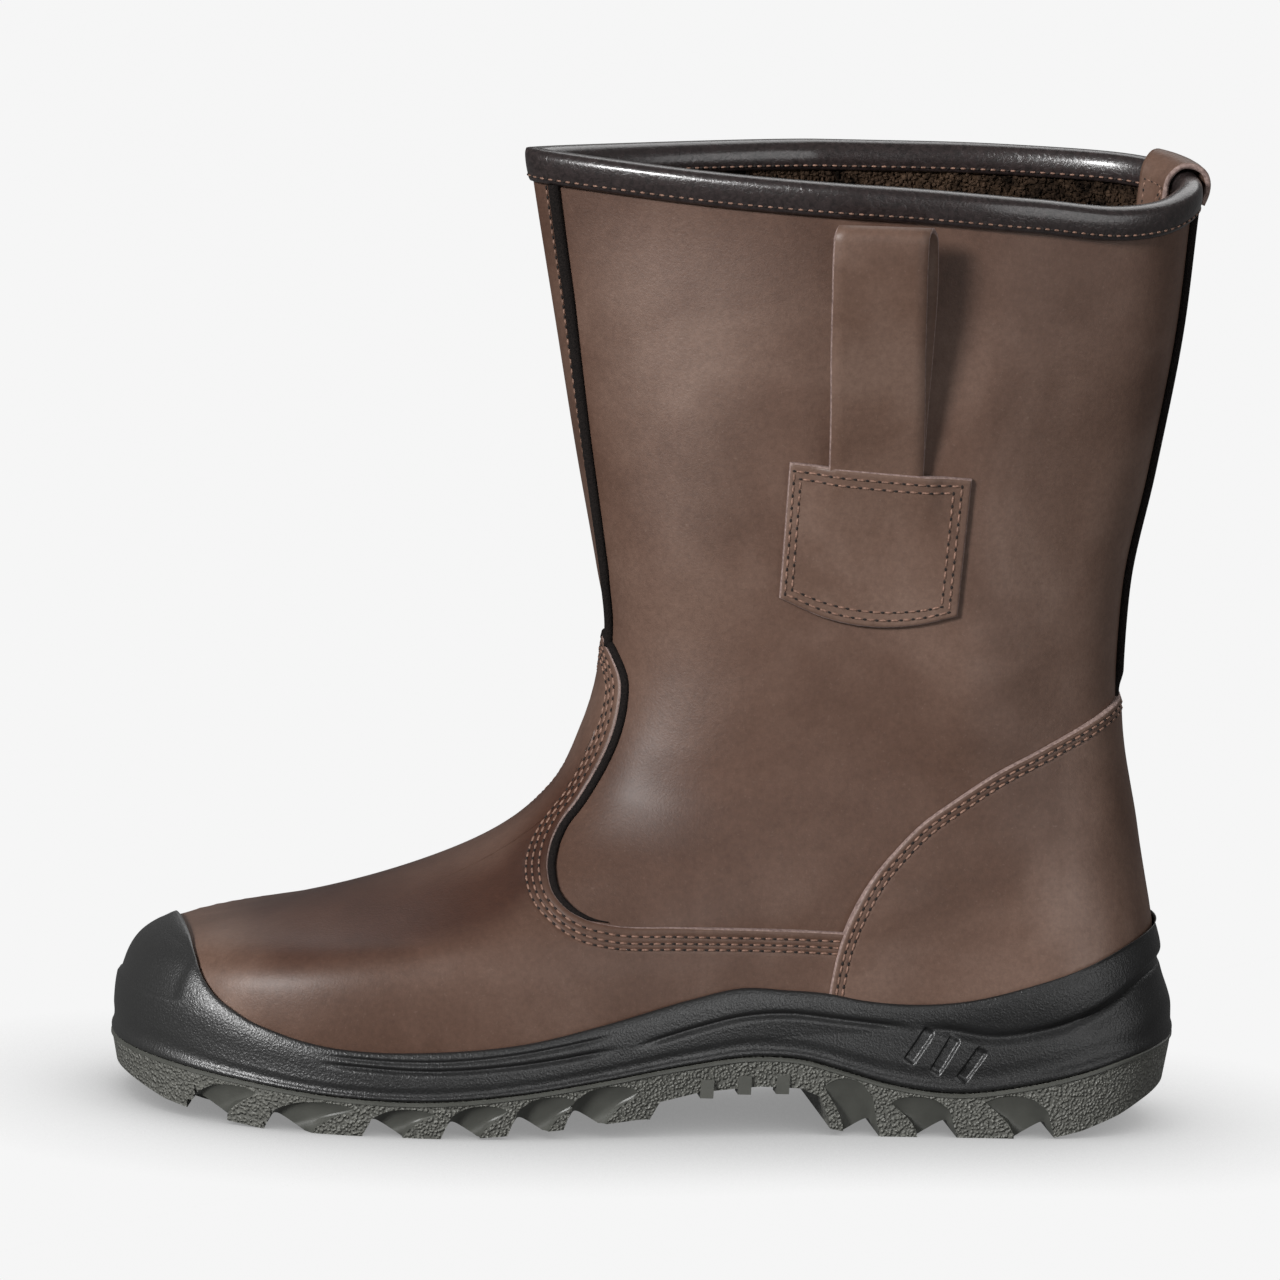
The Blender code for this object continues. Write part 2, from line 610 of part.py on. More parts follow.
def make_tab(parts, material):
    """The hanger loop over the binding at the back."""
    turns = np.linspace(TAB_TURN - TAB_HALF_TURN, TAB_TURN + TAB_HALF_TURN, 5)
    rows = []
    for lift, height in TAB_PATH:
        row = lifted(turns, np.full(5, min(height, LEVELS[-1])), np.full(5, lift))
        row[:, 2] = height - collar_drop(turns)
        rows.append(row)
    faces = []
    for number in range(len(rows) - 1):
        faces += band_faces(number * 5, (number + 1) * 5, 5, closed=False)
    tab = add_mesh(parts, "back_tab", np.concatenate(rows), faces, material)
    add_thickness(tab, TAB_THICK, 0)


def main():
    clear_scene()
    parts = add_collection("tall_safety_boot")
    cutters = add_collection("cutters")
    leather = add_material("brown_leather", (0.16, 0.07, 0.035), 0.5)
    trim = add_material("dark_leather", (0.03, 0.022, 0.02), 0.35)
    black = add_material("black_midsole", (0.02, 0.02, 0.021), 0.5)
    grey = add_material("grey_outsole", (0.12, 0.115, 0.09), 0.8)
    foam = add_material("insole_felt", (0.1, 0.07, 0.05), 0.9)
    make_outsole(parts, cutters, grey)
    make_midsole(parts, black)
    make_insole(parts, foam)
    make_upper(parts, leather)
    make_vamp(parts, cutters, leather)
    make_counter(parts, cutters, leather)
    make_binding(parts, trim)
    seam_levels = np.linspace(FRONT_SEAM[0][0], PIPING_TOP, 9)
    make_piping(parts, "front_piping", straight(FRONT_SEAM, seam_levels), seam_levels, trim)
    seam_levels = np.linspace(BACK_SEAM_START, PIPING_TOP, 9)
    make_piping(parts, "back_piping", np.full(9, BACK_SEAM_TURN), seam_levels, trim)
    for side, name in ((LATERAL, "lateral"), (MEDIAL, "medial")):
        make_patch(parts, cutters, "strap_patch_" + name, side, leather)
        make_strap(parts, "pull_strap_" + name, side, leather)
    make_tab(parts, leather)


main()
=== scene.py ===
"""Looks of the tall safety boot: oiled leather, pile lining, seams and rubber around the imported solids.

Lengths are in millimetres in the boot's own frame: toe at -X, heel at +X, outer side of the foot at -Y, floor
at z = 0. add_piece turns them into metres. The leather pieces lie on one surface, form(turn, level, lift).
"""

from math import cos, pi, radians, sin

import bmesh
import bpy
import numpy as np
from mathutils import Matrix, Vector

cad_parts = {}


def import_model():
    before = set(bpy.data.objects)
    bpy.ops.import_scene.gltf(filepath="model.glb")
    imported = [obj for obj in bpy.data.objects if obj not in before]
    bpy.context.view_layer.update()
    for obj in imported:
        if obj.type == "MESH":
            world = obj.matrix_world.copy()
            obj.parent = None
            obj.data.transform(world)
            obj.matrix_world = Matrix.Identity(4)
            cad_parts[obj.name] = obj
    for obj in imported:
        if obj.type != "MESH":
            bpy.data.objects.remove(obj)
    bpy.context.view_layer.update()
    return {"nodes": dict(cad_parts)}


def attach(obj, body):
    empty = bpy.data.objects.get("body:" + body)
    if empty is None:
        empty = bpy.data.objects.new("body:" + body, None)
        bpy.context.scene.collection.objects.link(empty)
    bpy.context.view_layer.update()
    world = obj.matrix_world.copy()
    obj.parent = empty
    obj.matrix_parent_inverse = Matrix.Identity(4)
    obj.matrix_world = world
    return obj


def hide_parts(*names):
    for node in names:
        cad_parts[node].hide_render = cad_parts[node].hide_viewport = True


METRES = 0.001
LATERAL, MEDIAL = -1, 1

# Sections of the last and the shaft, as in the part: ball, waist and heel are half widths, front_round and
# back_round the lengths over which a section's ends close, swing the share of the last's sideways curve, and
# front_blunt how round the front is.
SECTION_COLUMNS = (
    "front_x", "front_z", "back_x", "back_z", "ball", "waist", "heel", "front_round", "back_round", "swing",
    "front_blunt",
)
SECTIONS = np.array([
    (-149.0, 25.0, 149.0, 32.0, 47.5, 32.5, 33.0, 70.0, 40.0, 1.0, 2.2),
    (-148.5, 34.0, 147.9, 42.0, 49.0, 34.0, 34.5, 66.0, 40.0, 1.0, 2.2),
    (-144.5, 43.0, 146.8, 52.0, 48.3, 34.3, 34.5, 66.0, 40.0, 1.0, 2.2),
    (-135.5, 47.8, 145.2, 62.0, 46.0, 34.2, 34.0, 72.0, 42.0, 1.0, 2.2),
    (-116.0, 51.6, 143.2, 71.0, 43.3, 34.5, 33.5, 72.0, 44.0, 0.95, 2.2),
    (-91.0, 58.6, 141.0, 81.0, 39.3, 34.6, 33.0, 70.0, 46.0, 0.85, 2.2),
    (-67.0, 67.5, 139.0, 91.0, 36.5, 34.6, 32.5, 66.0, 48.0, 0.7, 2.2),
    (-46.0, 78.0, 136.9, 100.0, 34.5, 34.6, 31.5, 62.0, 50.0, 0.5, 2.2),
    (-31.0, 91.0, 134.9, 109.0, 33.2, 34.6, 31.0, 58.0, 52.0, 0.35, 2.2),
    (-22.0, 109.5, 133.3, 120.0, 33.2, 34.8, 30.5, 56.0, 54.0, 0.2, 2.2),
    (-17.5, 128.0, 132.6, 133.0, 34.0, 35.0, 30.5, 56.0, 56.0, 0.1, 2.2),
    (-17.7, 142.0, 132.6, 146.0, 35.0, 35.6, 31.0, 58.0, 58.0, 0.0, 2.2),
    (-21.2, 158.0, 133.2, 160.0, 36.0, 36.4, 32.0, 62.0, 60.0, 0.0, 2.2),
    (-29.2, 192.0, 138.4, 192.0, 38.0, 38.0, 34.5, 74.0, 66.0, 0.0, 1.9),
    (-38.2, 234.0, 144.0, 234.0, 40.0, 40.0, 37.0, 84.0, 72.0, 0.0, 1.55),
    (-46.2, 272.0, 146.4, 272.0, 41.0, 41.0, 39.0, 90.0, 80.0, 0.0, 1.35),
    (-48.6, 284.0, 147.2, 284.0, 41.6, 41.6, 39.6, 90.0, 80.0, 0.0, 1.35),
])
LEVELS = (SECTIONS[:, 1] + SECTIONS[:, 3]) / 2
BALL_AT, WAIST_AT, HEEL_AT = 0.25, 0.65, 0.88
BACK_BLUNT = 2.2
COLLAR_LEVEL = 276.0
FLAT_LEVEL = 48.0
# The slack collar: turn round the shaft and how far the top edge drops there, fading out down to SLACK_FROM
COLLAR_DROP = (
    (0, 0.6), (0.6, 1.0), (1.05, 2.1), (1.68, 3.5), (2.04, 5.6), (2.38, 8.1), (2.62, 7.2),
    (2.88, 4.4), (3.14, 2.4), (3.6, 0.2), (4.2, 0.3), (4.6, 0.8), (5.3, 1.6), (6.283, 0.6),
)
SLACK_FROM = 200.0
BED = ((-150, 25), (-110, 18), (-70, 15.5), (-30, 19.5), (0, 24.5), (30, 29), (70, 31.5), (150, 32))
SWING = ((-150, 4), (-100, 0), (-75, -2), (-40, -4.5), (-10, -5), (20, -3.5), (60, -1.5), (110, 0), (150, 0))

# Soft swells and hollows of the leather: side, x, height, half length, half width, slope in degrees, rise
SWELLS = (
    (LATERAL, -16.0, 98.0, 26.0, 7.0, 66.0, 0.5),
    (LATERAL, -20.0, 76.0, 12.0, 6.0, 20.0, 0.3),
    (LATERAL, 2.0, 84.0, 22.0, 12.0, 35.0, -0.2),
    (LATERAL, 20.0, 120.0, 30.0, 16.0, 20.0, 0.7),
    (LATERAL, 62.0, 108.0, 34.0, 14.0, -25.0, -0.8),
    (LATERAL, 96.0, 140.0, 26.0, 18.0, 55.0, 0.7),
    (LATERAL, 10.0, 200.0, 60.0, 18.0, 82.0, 0.6),
    (LATERAL, 104.0, 216.0, 60.0, 16.0, 96.0, -0.6),
    (LATERAL, -64.0, 62.0, 24.0, 5.0, 38.0, -0.35),
    (LATERAL, -52.0, 62.0, 22.0, 5.0, 50.0, 0.4),
    (MEDIAL, -16.0, 98.0, 26.0, 7.0, 66.0, 0.9),
    (MEDIAL, 8.0, 86.0, 24.0, 12.0, 30.0, -0.9),
    (MEDIAL, 70.0, 112.0, 34.0, 14.0, -20.0, -0.8),
    (MEDIAL, 30.0, 190.0, 60.0, 20.0, 84.0, 0.6),
    (MEDIAL, -60.0, 62.0, 24.0, 5.0, 42.0, -0.4),
)

SWELL_FADE = 18.0  # from the centre line out to where a side's swells are at their full height

WALL = 2.8
PANEL_TOP = 1.9  # a panel's face over the upper
PANEL_START = 31.5
EDGE_STEP = 1.2
VAMP_EDGE = (
    (54.0, 59.6), (39.2, 60.3), (1.0, 61.5), (-20.2, 61.9), (-26.0, 62.9), (-32.0, 65.8),
    (-34.8, 69.2), (-35.4, 74.0), (-33.5, 80.1), (-30.5, 85.2), (-24.8, 92.6), (-18.5, 104.6),
    (-15.5, 113.0), (-14.0, 121.0), (-13.9, 128.0), (-15.7, 133.6), (-17.9, 138.6),
)
COUNTER_EDGE = (
    (46.6, 34.0), (47.1, 42.0), (50.0, 58.0), (52.3, 64.6), (55.4, 71.1), (59.5, 77.7),
    (64.7, 84.2), (71.4, 91.4), (81.6, 99.2), (92.3, 106.5), (107.0, 113.6), (118.4, 119.0),
    (129.0, 124.0), (133.4, 126.2),
)
PATCH_TOP = ((27.0, 197.0), (80.0, 193.8))
PATCH_FOOT = ((26.4, 157.2), (41.0, 151.4), (55.0, 149.4), (67.0, 150.4), (78.4, 153.4))

# Rows of an overlay from its raw edge inwards: distance inside the edge, and height over the upper
RAW_EDGE = ((0.0, 0.1), (0.0, 0.9), (0.12, 1.4), (0.4, 1.72), (1.0, 1.9))
VAMP_SEAMS = (2.6, 4.6, 6.4)
COUNTER_SEAMS = (1.9, 3.7)
SEAM_DENT = 0.28

# Midsole: x and height of its top edge and of the parting line, then its wall: share of height, distance out
TOP_EDGE = (
    (-146, 70), (-136, 52), (-135.4, 48.2), (-134.6, 45.2), (-133.2, 42), (-130.4, 38), (-125, 33.8),
    (-112, 28.7), (-100, 26), (-86, 25), (-67, 25.7), (-43, 28.5), (-20, 34), (5, 40.8), (21, 43.9),
    (34, 43.2), (46, 42.4), (58, 40.4), (86, 40.5), (110, 46.4), (122, 50.6), (135, 56.2), (150, 61.6),
)
PARTING = (
    (-156, 17.6), (-125, 14.2), (-94, 11.3), (-74, 10.9), (-43, 13.8), (-22, 17.1), (5, 21.6), (27, 23.8),
    (40, 22.9), (52, 19.8), (66, 16), (87, 13.5), (105, 15.7), (124, 20.1), (139, 24.3), (156, 28),
)
MIDSOLE_WALL = (
    (0.0, 5.6), (0.03, 6.3), (0.075, 6.35), (0.11, 5.95), (0.3, 6.1), (0.5, 5.8), (0.72, 5.4), (0.86, 4.9),
    (0.95, 4.3), (0.99, 3.75), (1.0, 3.2), (0.985, 2.75), (0.94, 2.6), (0.85, 2.6),
)
SOLE_AROUND = 960
# The wall's profile is laid out this tall with points this far apart. Relief begins over a height and a
# distance out, and fades in between two distances out.
WALL_TALL, WALL_STEP, RELIEF_FROM_UP, RELIEF_FROM_OUT, RELIEF_FADE = 30, 0.45, 1.0, 3.4, (3.2, 4.4)
CUP_FLOOR_DROP, CUP_FLOOR_OUT = 0.4, 2.7  # the cup's floor: depth under the feather line, distance out
FEATHER_BLEND = 10.0  # height over the feather line where the wall starts to follow the upper's slope
# A groove fades over this length at its ends, but not where its two sides meet behind the heel
GROOVE_FADE, GROOVES_MEET = 14.0, 150
# Grooves along the midsole's side: x and height along the line, then half width and depth
HEEL_GROOVE = ((72, 32.6), (82, 31.7), (97, 29.9), (112, 32.2), (129, 38.1), (145, 47.6), (158, 51.5))
ARCH_GROOVE = ((-12, 27), (-3, 29.4), (9, 32.6), (21, 35.3), (36, 36.1), (49, 34.7), (64, 33.1), (74, 32.2))
FOREFOOT_GROOVE = ((-104, 20.9), (-90, 20.1), (-73, 19.6), (-49, 21.4), (-31, 24.0), (-14, 27.2))
FOREFOOT_LINE = ((-104, 23.4), (-90, 22.4), (-73, 22.2), (-49, 24.4), (-31, 27.6), (-14, 31.5))
GROOVES = (
    (HEEL_GROOVE, 1.6, 1.5),
    (ARCH_GROOVE, 1.0, 1.2),
    (FOREFOOT_GROOVE, 0.8, 1.2),
    (FOREFOOT_LINE, 0.7, 0.8),
)
# The heel's rear: the lower band slopes in this far up to the groove, and the upper one stands out from there
LOWER_BAND_IN, UPPER_BAND_OUT = 2.7, 1.2
# The bands set in between two x, and change between two heights over the groove
BANDS_SET_IN, LOWER_BAND, UPPER_BAND = (95.0, 140.0), (-18.0, 0.0), (-0.5, 2.5)
# Slanted recesses in the heel's side: x and height of the upper and lower end
BARS = ((76.8, 31.0, 71.9, 23.4), (84.5, 28.8, 79.8, 20.4), (92.6, 25.6, 87.8, 18.3))
BAR_HALF_WIDE, BAR_DEEP, BAR_END, BAR_CROWD = 1.7, 1.1, 1.6, 3.0
BAR_SLOPE_IN, BAR_SLOPE_OUT = 0.5, 0.3  # the recess's slope begins inside its half width and ends outside it
CROWD_RISES, CROWD_FALLS = (62.0, 68.0), (96.0, 102.0)  # x between which points crowd together for the bars
TOE_RECESS_SIDE, TOE_RECESS_RISE, TOE_RECESS_FALL = 0.05, 1.2, 3  # fades at its sides, foot and head
TOE_RECESS_TURN, TOE_RECESS_FOOT, TOE_RECESS_HEAD, TOE_RECESS_DEEP = 0.36, 33.5, 49.0, 0.9

# Outsole: x and height of the tread, the arch, the notches between lugs and the waist ribs
TREAD = (
    (-156, 9.5), (-143, 4.2), (-130, 1.6), (-116, 0), (-62, 0), (-49, 1.0), (-32, 2.8), (-8, 5.6), (20, 5.6),
    (50, 2), (62, 0), (114, 0), (124, 2.2), (136, 6.4), (143, 9.7), (156, 15),
)
TREAD_INSET = 1.6
# The outsole's wall: points around, distance out, height its plan is taken at, gap under the midsole
OUTSOLE_AROUND, OUTSOLE_OUT, PLAN_HEIGHT, PARTING_GAP = 420, 6.0, 5.0, 0.3
# Its shoulder: shares of the way out and up from the tread to the top, and the share of a ring below it
SHOULDER_OUT, SHOULDER_UP, UNDER_SHOULDER = 0.9, 0.75, 0.35
LIP_FOOT, LIP_HEAD = 0.8, 0.3  # heights of the lip's face, as shares of its height down from its top
PEBBLED_BANDS, SHARP_FROM = 3, 32  # pebbled bands of the wall, and degrees from which an edge is sharp
ARCH_HALF_LONG, GROOVE_BASE = 90, -4.0  # the arch's cutter reaches this far to each side, grooves begin here
SOLE_LIP, SOLE_LIP_TALL = 0.45, 1.3
ARCH = ((-6, -3), (-4.5, 6), (-2, 10.8), (10, 13.4), (28, 14.8), (40, 14.2), (46, 11.8), (49, 5), (51, -3))
NOTCHES = (
    # x of the notch's top, reach along x to the tip of the leaf-shaped scoop over the next lug
    (-134.0, 15.0), (-113.0, 21.5), (-85.5, 17.0), (-63.0, 16.0), (-43.5, 17.0), (-27.0, 18.5),
    (61.0, -14.0), (84.0, -17.0), (113.0, -18.0),
)
# Outline of a notch with its scoop. On the sole's side: share of the reach, shift along it, share of the
# scoop's height. In the notch behind it: distance along the reach, share of the notch's height.
SCOOP = (
    (0.0, -4.2, -0.35, -4.2, -0.4), (0.0, -3.2, 0.0, -3.2, 0.0), (0.0, -1.6, 0.42, -1.4, 0.6),
    (0.0, 0.0, 0.7, 0.0, 1.0), (0.2, 0.0, 0.9, 1.2, 0.95), (0.4, 0.0, 0.98, 2.4, 0.82),
    (0.6, 0.0, 1.0, 3.4, 0.7), (0.82, 0.0, 0.96, 4.4, 0.57), (1.0, 0.0, 0.84, 5.2, 0.46),
    (0.85, 0.0, 0.66, 6.0, 0.36), (0.68, 0.0, 0.45, 6.8, 0.25), (0.56, 0.0, 0.22, 7.6, 0.13),
    (0.5, 0.0, 0.0, 8.5, 0.0), (0.48, 0.0, -0.35, 9.3, -0.4),
)
SCOOP_UNDER_PARTING = 2.2
NOTCH_TALL = 4.6
# Loops of a scoop from outside the wall to the notch's inner end: distance out, share of the way to the notch
SCOOP_DEPTHS = ((1.2, 0.0), (-0.3, 0.0), (-1.6, 0.2), (-3.0, 0.55), (-4.6, 1.0), (-26.0, 1.0))
RIBS_AT = (11.9, 23.2, 34.6)
RIB_WIDE, RIB_TALL, RIB_HANG, RIB_PROUD, RIB_SINK, RIB_DEEP = 3.8, 5.5, 1.8, 0.8, 0.6, 6
TREAD_GROOVES = (
    # first x, last x, first y, last y, roof
    (-122.0, -9.0, -5.0, 1.0, 3.4),
    (57.0, 127.0, -3.0, 3.0, 3.4),
)

# Collar binding: a closed profile of distance out from the upper and height before the collar's drop
BINDING = (
    (0.5, 271.6), (1.5, 271.3), (2.2, 272.0), (2.5, 273.2), (2.75, 275.2), (2.7, 277.2),
    (2.2, 279.2), (1.0, 280.5), (-1.4, 281.0), (-3.8, 280.4), (-5.0, 278.6), (-5.4, 276.2),
    (-5.2, 274.2), (-4.7, 272.8), (-3.8, 272.3), (-3.4, 273.2), (-3.4, 277.2), (0.5, 277.2),
)
BINDING_SEAMS = ((2.45, 272.9, 1), (-5.2, 273.8, -1))  # distance out, height, and the way each row faces
BINDING_GAP, TIP_SHARE, TIP_HALF_TURN = 0.6, 0.4, 0.3  # the outer leg thins to this share at the front fold
PIPING_RADIUS, PIPING_TOP = 1.4, 271.4
FRONT_SEAM = ((138.5, 0.1), (160, 0.2), (184, 0.25), (206, 0.28), (238, 0.32), (272, 0.34))
FRONT_CORD = ((138, 1.35), (200, 1.5), (272, 1.7))  # level and radius of the front cord
BACK_SEAM_TURN, BACK_SEAM_START = pi - 0.1, 121.0
PIPING_ROWS, PIPING_LIFT = 130, 0.9
COUNTER_COVERS, COUNTER_DIP = (3, 10), 1.2  # the back cord sinks this far where the counter covers its foot
# Cord beside the vamp: radius, distance outside the edge, height. It thins out between two x in the low band.
VAMP_CORD_RADIUS, VAMP_CORD_OUT, VAMP_CORD_LIFT = 1.25, 0.8, 0.5
LOW_BAND, CORD_THINS, CORD_THINNEST, CORD_GONE, CORD_REAR = 80.0, (-18.0, -34.0), 0.15, 0.02, 20.0

STRAP_X, STRAP_WIDE, STRAP_THICK = 50.0, 27.0, 1.7
STRAP_PATH = (
    # shift along x, distance out from the shaft, height
    (1.8, 1.4, 190.0), (1.6, 3.2, 212), (1.4, 6.4, 232), (1.0, 9.2, 252), (0.4, 10.2, 261),
    (-0.6, 11.6, 266.4), (-2.0, 13.6, 267.8), (-3.2, 15.4, 266.2), (-3.4, 15.8, 261), (-2.8, 14.6, 248),
    (-1.4, 10.4, 230), (0.4, 6.0, 212), (1.6, 2.6, 196.0), (1.8, 1.4, 188.0),
)
TAB_TURN, TAB_HALF_TURN, TAB_THICK = pi + 0.2, 0.18, 1.7
TAB_PATH = (
    # distance out from the upper, height before the collar's drop
    (-7.4, 260.0), (-7.4, 274.0), (-6.8, 279.6), (-3.6, 282.9), (0.4, 283.0), (3.6, 281.2), (5.0, 278.0),
    (4.9, 275.0), (4.0, 272.0),
)
TAB_SEAM_EDGE, TAB_SEAM_HEAD, TAB_SEAM_FOOT = 0.13, 276.0, 263.0  # half turn and heights of its stitched box

# Stitches: length, thickness and pitch, then length and thickness of a needle hole, a dark blob of painted
# shade
SEAM_THREAD = (2.5, 0.75, 3.4)
TRIM_THREAD = (1.7, 0.65, 2.9)
NEEDLE_HOLE = (1.2, 0.7)
THREAD_OVER_DENT = 0.2  # a stitch's middle over the bottom of its seam's dent
# Seams go this far under the sole's rim. The vamp's end at an x, and the counter's go round past the heel.
SEAM_UNDER_RIM, VAMP_SEAM_END, HEEL_END = 1.0, 50.5, 160.0
PATCH_SEAM_POINTS, BINDING_SEAM_POINTS, TAB_SEAM_POINTS = 40, 600, 30
# The rows beside the front seam: turns from it, height over the leather, first and last level, points
FRONT_ROWS, FRONT_ROW_LIFT, FRONT_ROW_LEVELS = (0.045, 0.085), 0.15, (143.0, 270.0, 160)

# Pile: first and last level, rows and columns of its ground, depth behind the lining, curls to the square
# millimetre, and the smallest and largest size of a curl
PILE_LEVELS, PILE_ROWS, PILE_COLUMNS, PILE_SINK = (272.0, 248.0), 20, 160, 0.2
PILE_DENSITY, CURL_SMALLEST, CURL_LARGEST = 0.85, 0.25, 1.2

# Camera: turned and raised about the boot, in degrees, with its aim, distance and lens
VIEW_TURN, VIEW_RISE, VIEW_ROLL = -9.0, 10.0, 3.143
VIEW_AIM = (-7.693, 0.0, 137.286)
VIEW_FAR = 3600.0
VIEW_LENS, SENSOR = 349.3, 36.0


def through(knots, values, at):
    """A smooth curve through the values at the knots, held level beyond the ends."""
    knots, values, at = np.asarray(knots, float), np.asarray(values, float), np.asarray(at, float)
    step = np.diff(knots).reshape((-1,) + (1,) * (values.ndim - 1))
    slope = np.diff(values, axis=0) / step
    tangent = np.empty_like(values)
    tangent[0], tangent[-1] = slope[0], slope[-1]
    tangent[1:-1] = (step[1:] * slope[:-1] + step[:-1] * slope[1:]) / (step[1:] + step[:-1])
    left = np.clip(np.searchsorted(knots, at, side="right") - 1, 0, len(knots) - 2)
    wide = knots[left + 1] - knots[left]
    share = np.clip((at - knots[left]) / wide, 0, 1)
    if values.ndim > 1:
        wide, share = wide[..., None], share[..., None]
    rise = share * share * (3 - 2 * share)
    return (
        (1 - rise) * values[left]
        + rise * values[left + 1]
        + wide * share * (1 - share) * ((1 - share) * tangent[left] - share * tangent[left + 1])
    )


def read(table, at):
    rows = np.array(table, float)
    return through(rows[:, 0], rows[:, 1], at)


def straight(table, at):
    rows = np.array(table, float)
    return np.interp(at, rows[:, 0], rows[:, 1])


def ease(value, start, end):
    share = np.clip((value - start) / (end - start), 0, 1)
    return share * share * (3 - 2 * share)


def unit(vectors):
    return vectors / np.linalg.norm(vectors, axis=-1, keepdims=True)


def smooth_line(rows, step):
    """Points along a smooth line through the rows, about step apart."""
    rows = np.array(rows, float)
    run = np.concatenate([[0], np.cumsum(np.linalg.norm(np.diff(rows, axis=0), axis=1))])
    return through(run, rows, np.linspace(0, run[-1], int(run[-1] / step) + 1))


def rounded_end(distance, length, blunt):
    """Share of the full half width at a distance from a loop's end."""
    left = np.clip(1 - distance / length, 0, 1)
    return (1 - left**blunt) ** (1 / blunt)


def section(level):
    return dict(zip(SECTION_COLUMNS, np.moveaxis(through(LEVELS, SECTIONS, level), -1, 0)))


def collar_drop(turn):
    return read(COLLAR_DROP, np.mod(turn, 2 * pi))


def skin(turn, level):
    """Point of the upper's outer surface. turn runs from the front centre round the lateral side."""
    turn, level = np.broadcast_arrays(np.asarray(turn, float), np.asarray(level, float))
    row = section(level)
    along = (1 - np.cos(turn)) / 2
    length = row["back_x"] - row["front_x"]
    x = row["front_x"] + along * length
    z = row["front_z"] + along * (row["back_z"] - row["front_z"])
    half = row["ball"] + ease(along, BALL_AT, WAIST_AT) * (row["waist"] - row["ball"])
    half = half + ease(along, WAIST_AT, HEEL_AT) * (row["heel"] - row["waist"])
    half = half * rounded_end(along * length, row["front_round"], row["front_blunt"])
    half = half * rounded_end((1 - along) * length, row["back_round"], BACK_BLUNT)
    y = read(SWING, x) * row["swing"] - np.where(np.sin(turn) >= 0, 1, -1) * half
    feather = SECTIONS[0, 1] + along * (SECTIONS[0, 3] - SECTIONS[0, 1])
    near_bed = np.clip((FLAT_LEVEL - level) / (FLAT_LEVEL - LEVELS[0]), 0, 1) ** 1.5
    z = z + near_bed * (read(BED, x) - feather) - collar_drop(turn) * ease(level, SLACK_FROM, COLLAR_LEVEL)
    return np.stack([x, y, z], axis=-1)


# Steps of turn and level over which slopes are taken
TURN_STEP, LEVEL_STEP = 0.001, 0.2


def slopes(turn, level):
    """How the surface moves with turn and with level."""
    low = np.maximum(level - LEVEL_STEP, LEVELS[0])
    high = np.minimum(level + LEVEL_STEP, LEVELS[-1])
    around = (skin(turn + TURN_STEP, level) - skin(turn - TURN_STEP, level)) / (2 * TURN_STEP)
    up = (skin(turn, high) - skin(turn, low)) / (high - low)[..., None]
    return around, up


def outward(turn, level):
    """Unit normal of the upper's surface."""
    turn, level = np.broadcast_arrays(np.asarray(turn, float), np.asarray(level, float))
    around, up = slopes(turn, level)
    return unit(np.cross(around, up))


def swell(points):
    """How far the leather stands out from the last at these points."""
    rise = np.zeros(points.shape[:-1])
    for side, x, z, long, wide, slope, height in SWELLS:
        dx, dz = points[..., 0] - x, points[..., 2] - z
        along = dx * cos(radians(slope)) + dz * sin(radians(slope))
        across = dz * cos(radians(slope)) - dx * sin(radians(slope))
        here = np.exp(-((along / long) ** 2) - (across / wide) ** 2)
        rise += height * here * ease(side * points[..., 1], 0.0, SWELL_FADE)
    return rise


def form(turn, level, lift):
    """A point at a height over the upper's leather."""
    turn, level = np.broadcast_arrays(np.asarray(turn, float), np.asarray(level, float))
    base = skin(turn, level)
    rise = np.asarray(lift, float) + swell(base)
    return base + rise[..., None] * outward(turn, level)


def turn_at(x, level):
    row = section(level)
    along = np.clip((x - row["front_x"]) / (row["back_x"] - row["front_x"]), 0, 1)
    return np.arccos(1 - 2 * along)


HALVINGS = 40  # of a span of levels, when a height is looked for


def on_side(x, z):
    """Turn and level of the lateral surface at this x and height."""
    low, high = np.full(np.shape(x), LEVELS[0]), np.full(np.shape(x), LEVELS[-1])
    for _ in range(HALVINGS):
        level = (low + high) / 2
        above = skin(turn_at(x, level), level)[..., 2] > z
        high = np.where(above, level, high)
        low = np.where(above, low, level)
    return turn_at(x, level), level


def settle(points, turn, level):
    """Turn and level of the surface nearest to the points, from a first guess."""
    for _ in range(5):
        around, up = slopes(turn, level)
        gap = points - skin(turn, level)
        aa, au, uu = (np.sum(p * q, -1) for p, q in ((around, around), (around, up), (up, up)))
        ga, gu = np.sum(gap * around, -1), np.sum(gap * up, -1)
        apart = aa * uu - au * au
        turn = turn + (uu * ga - au * gu) / apart
        level = np.clip(level + (aa * gu - au * ga) / apart, LEVELS[0], LEVELS[-1])
    return turn, level


def inset_line(turn, level, distance):
    """The line at a distance inside an overlay's edge, as turn and level."""
    points = skin(turn, level)
    forward = unit(np.gradient(points, axis=0))
    inward = np.cross(outward(turn, level), forward)
    return settle(points + distance * inward, turn, level)


CENTRE_NEAR = 0.02  # points of an edge this close to the centre line, in turn, give way to its end


def half_edge(rows, end_turn):
    """Turn and level along an overlay's edge on the lateral side, up to the boot's centre line."""
    line = smooth_line(rows, EDGE_STEP)
    turn, level = on_side(line[:, 0], line[:, 1])
    short = np.abs(turn - end_turn) > CENTRE_NEAR
    return np.append(turn[short], end_turn), np.append(level[short], level[-1])


def vamp_edge():
    """Turn and level along the vamp's edge, from the lateral side over the tongue to the medial side."""
    turn, level = half_edge(VAMP_EDGE, 0.0)
    return np.concatenate([turn[:-1], -turn[::-1]]), np.concatenate([level[:-1], level[::-1]])


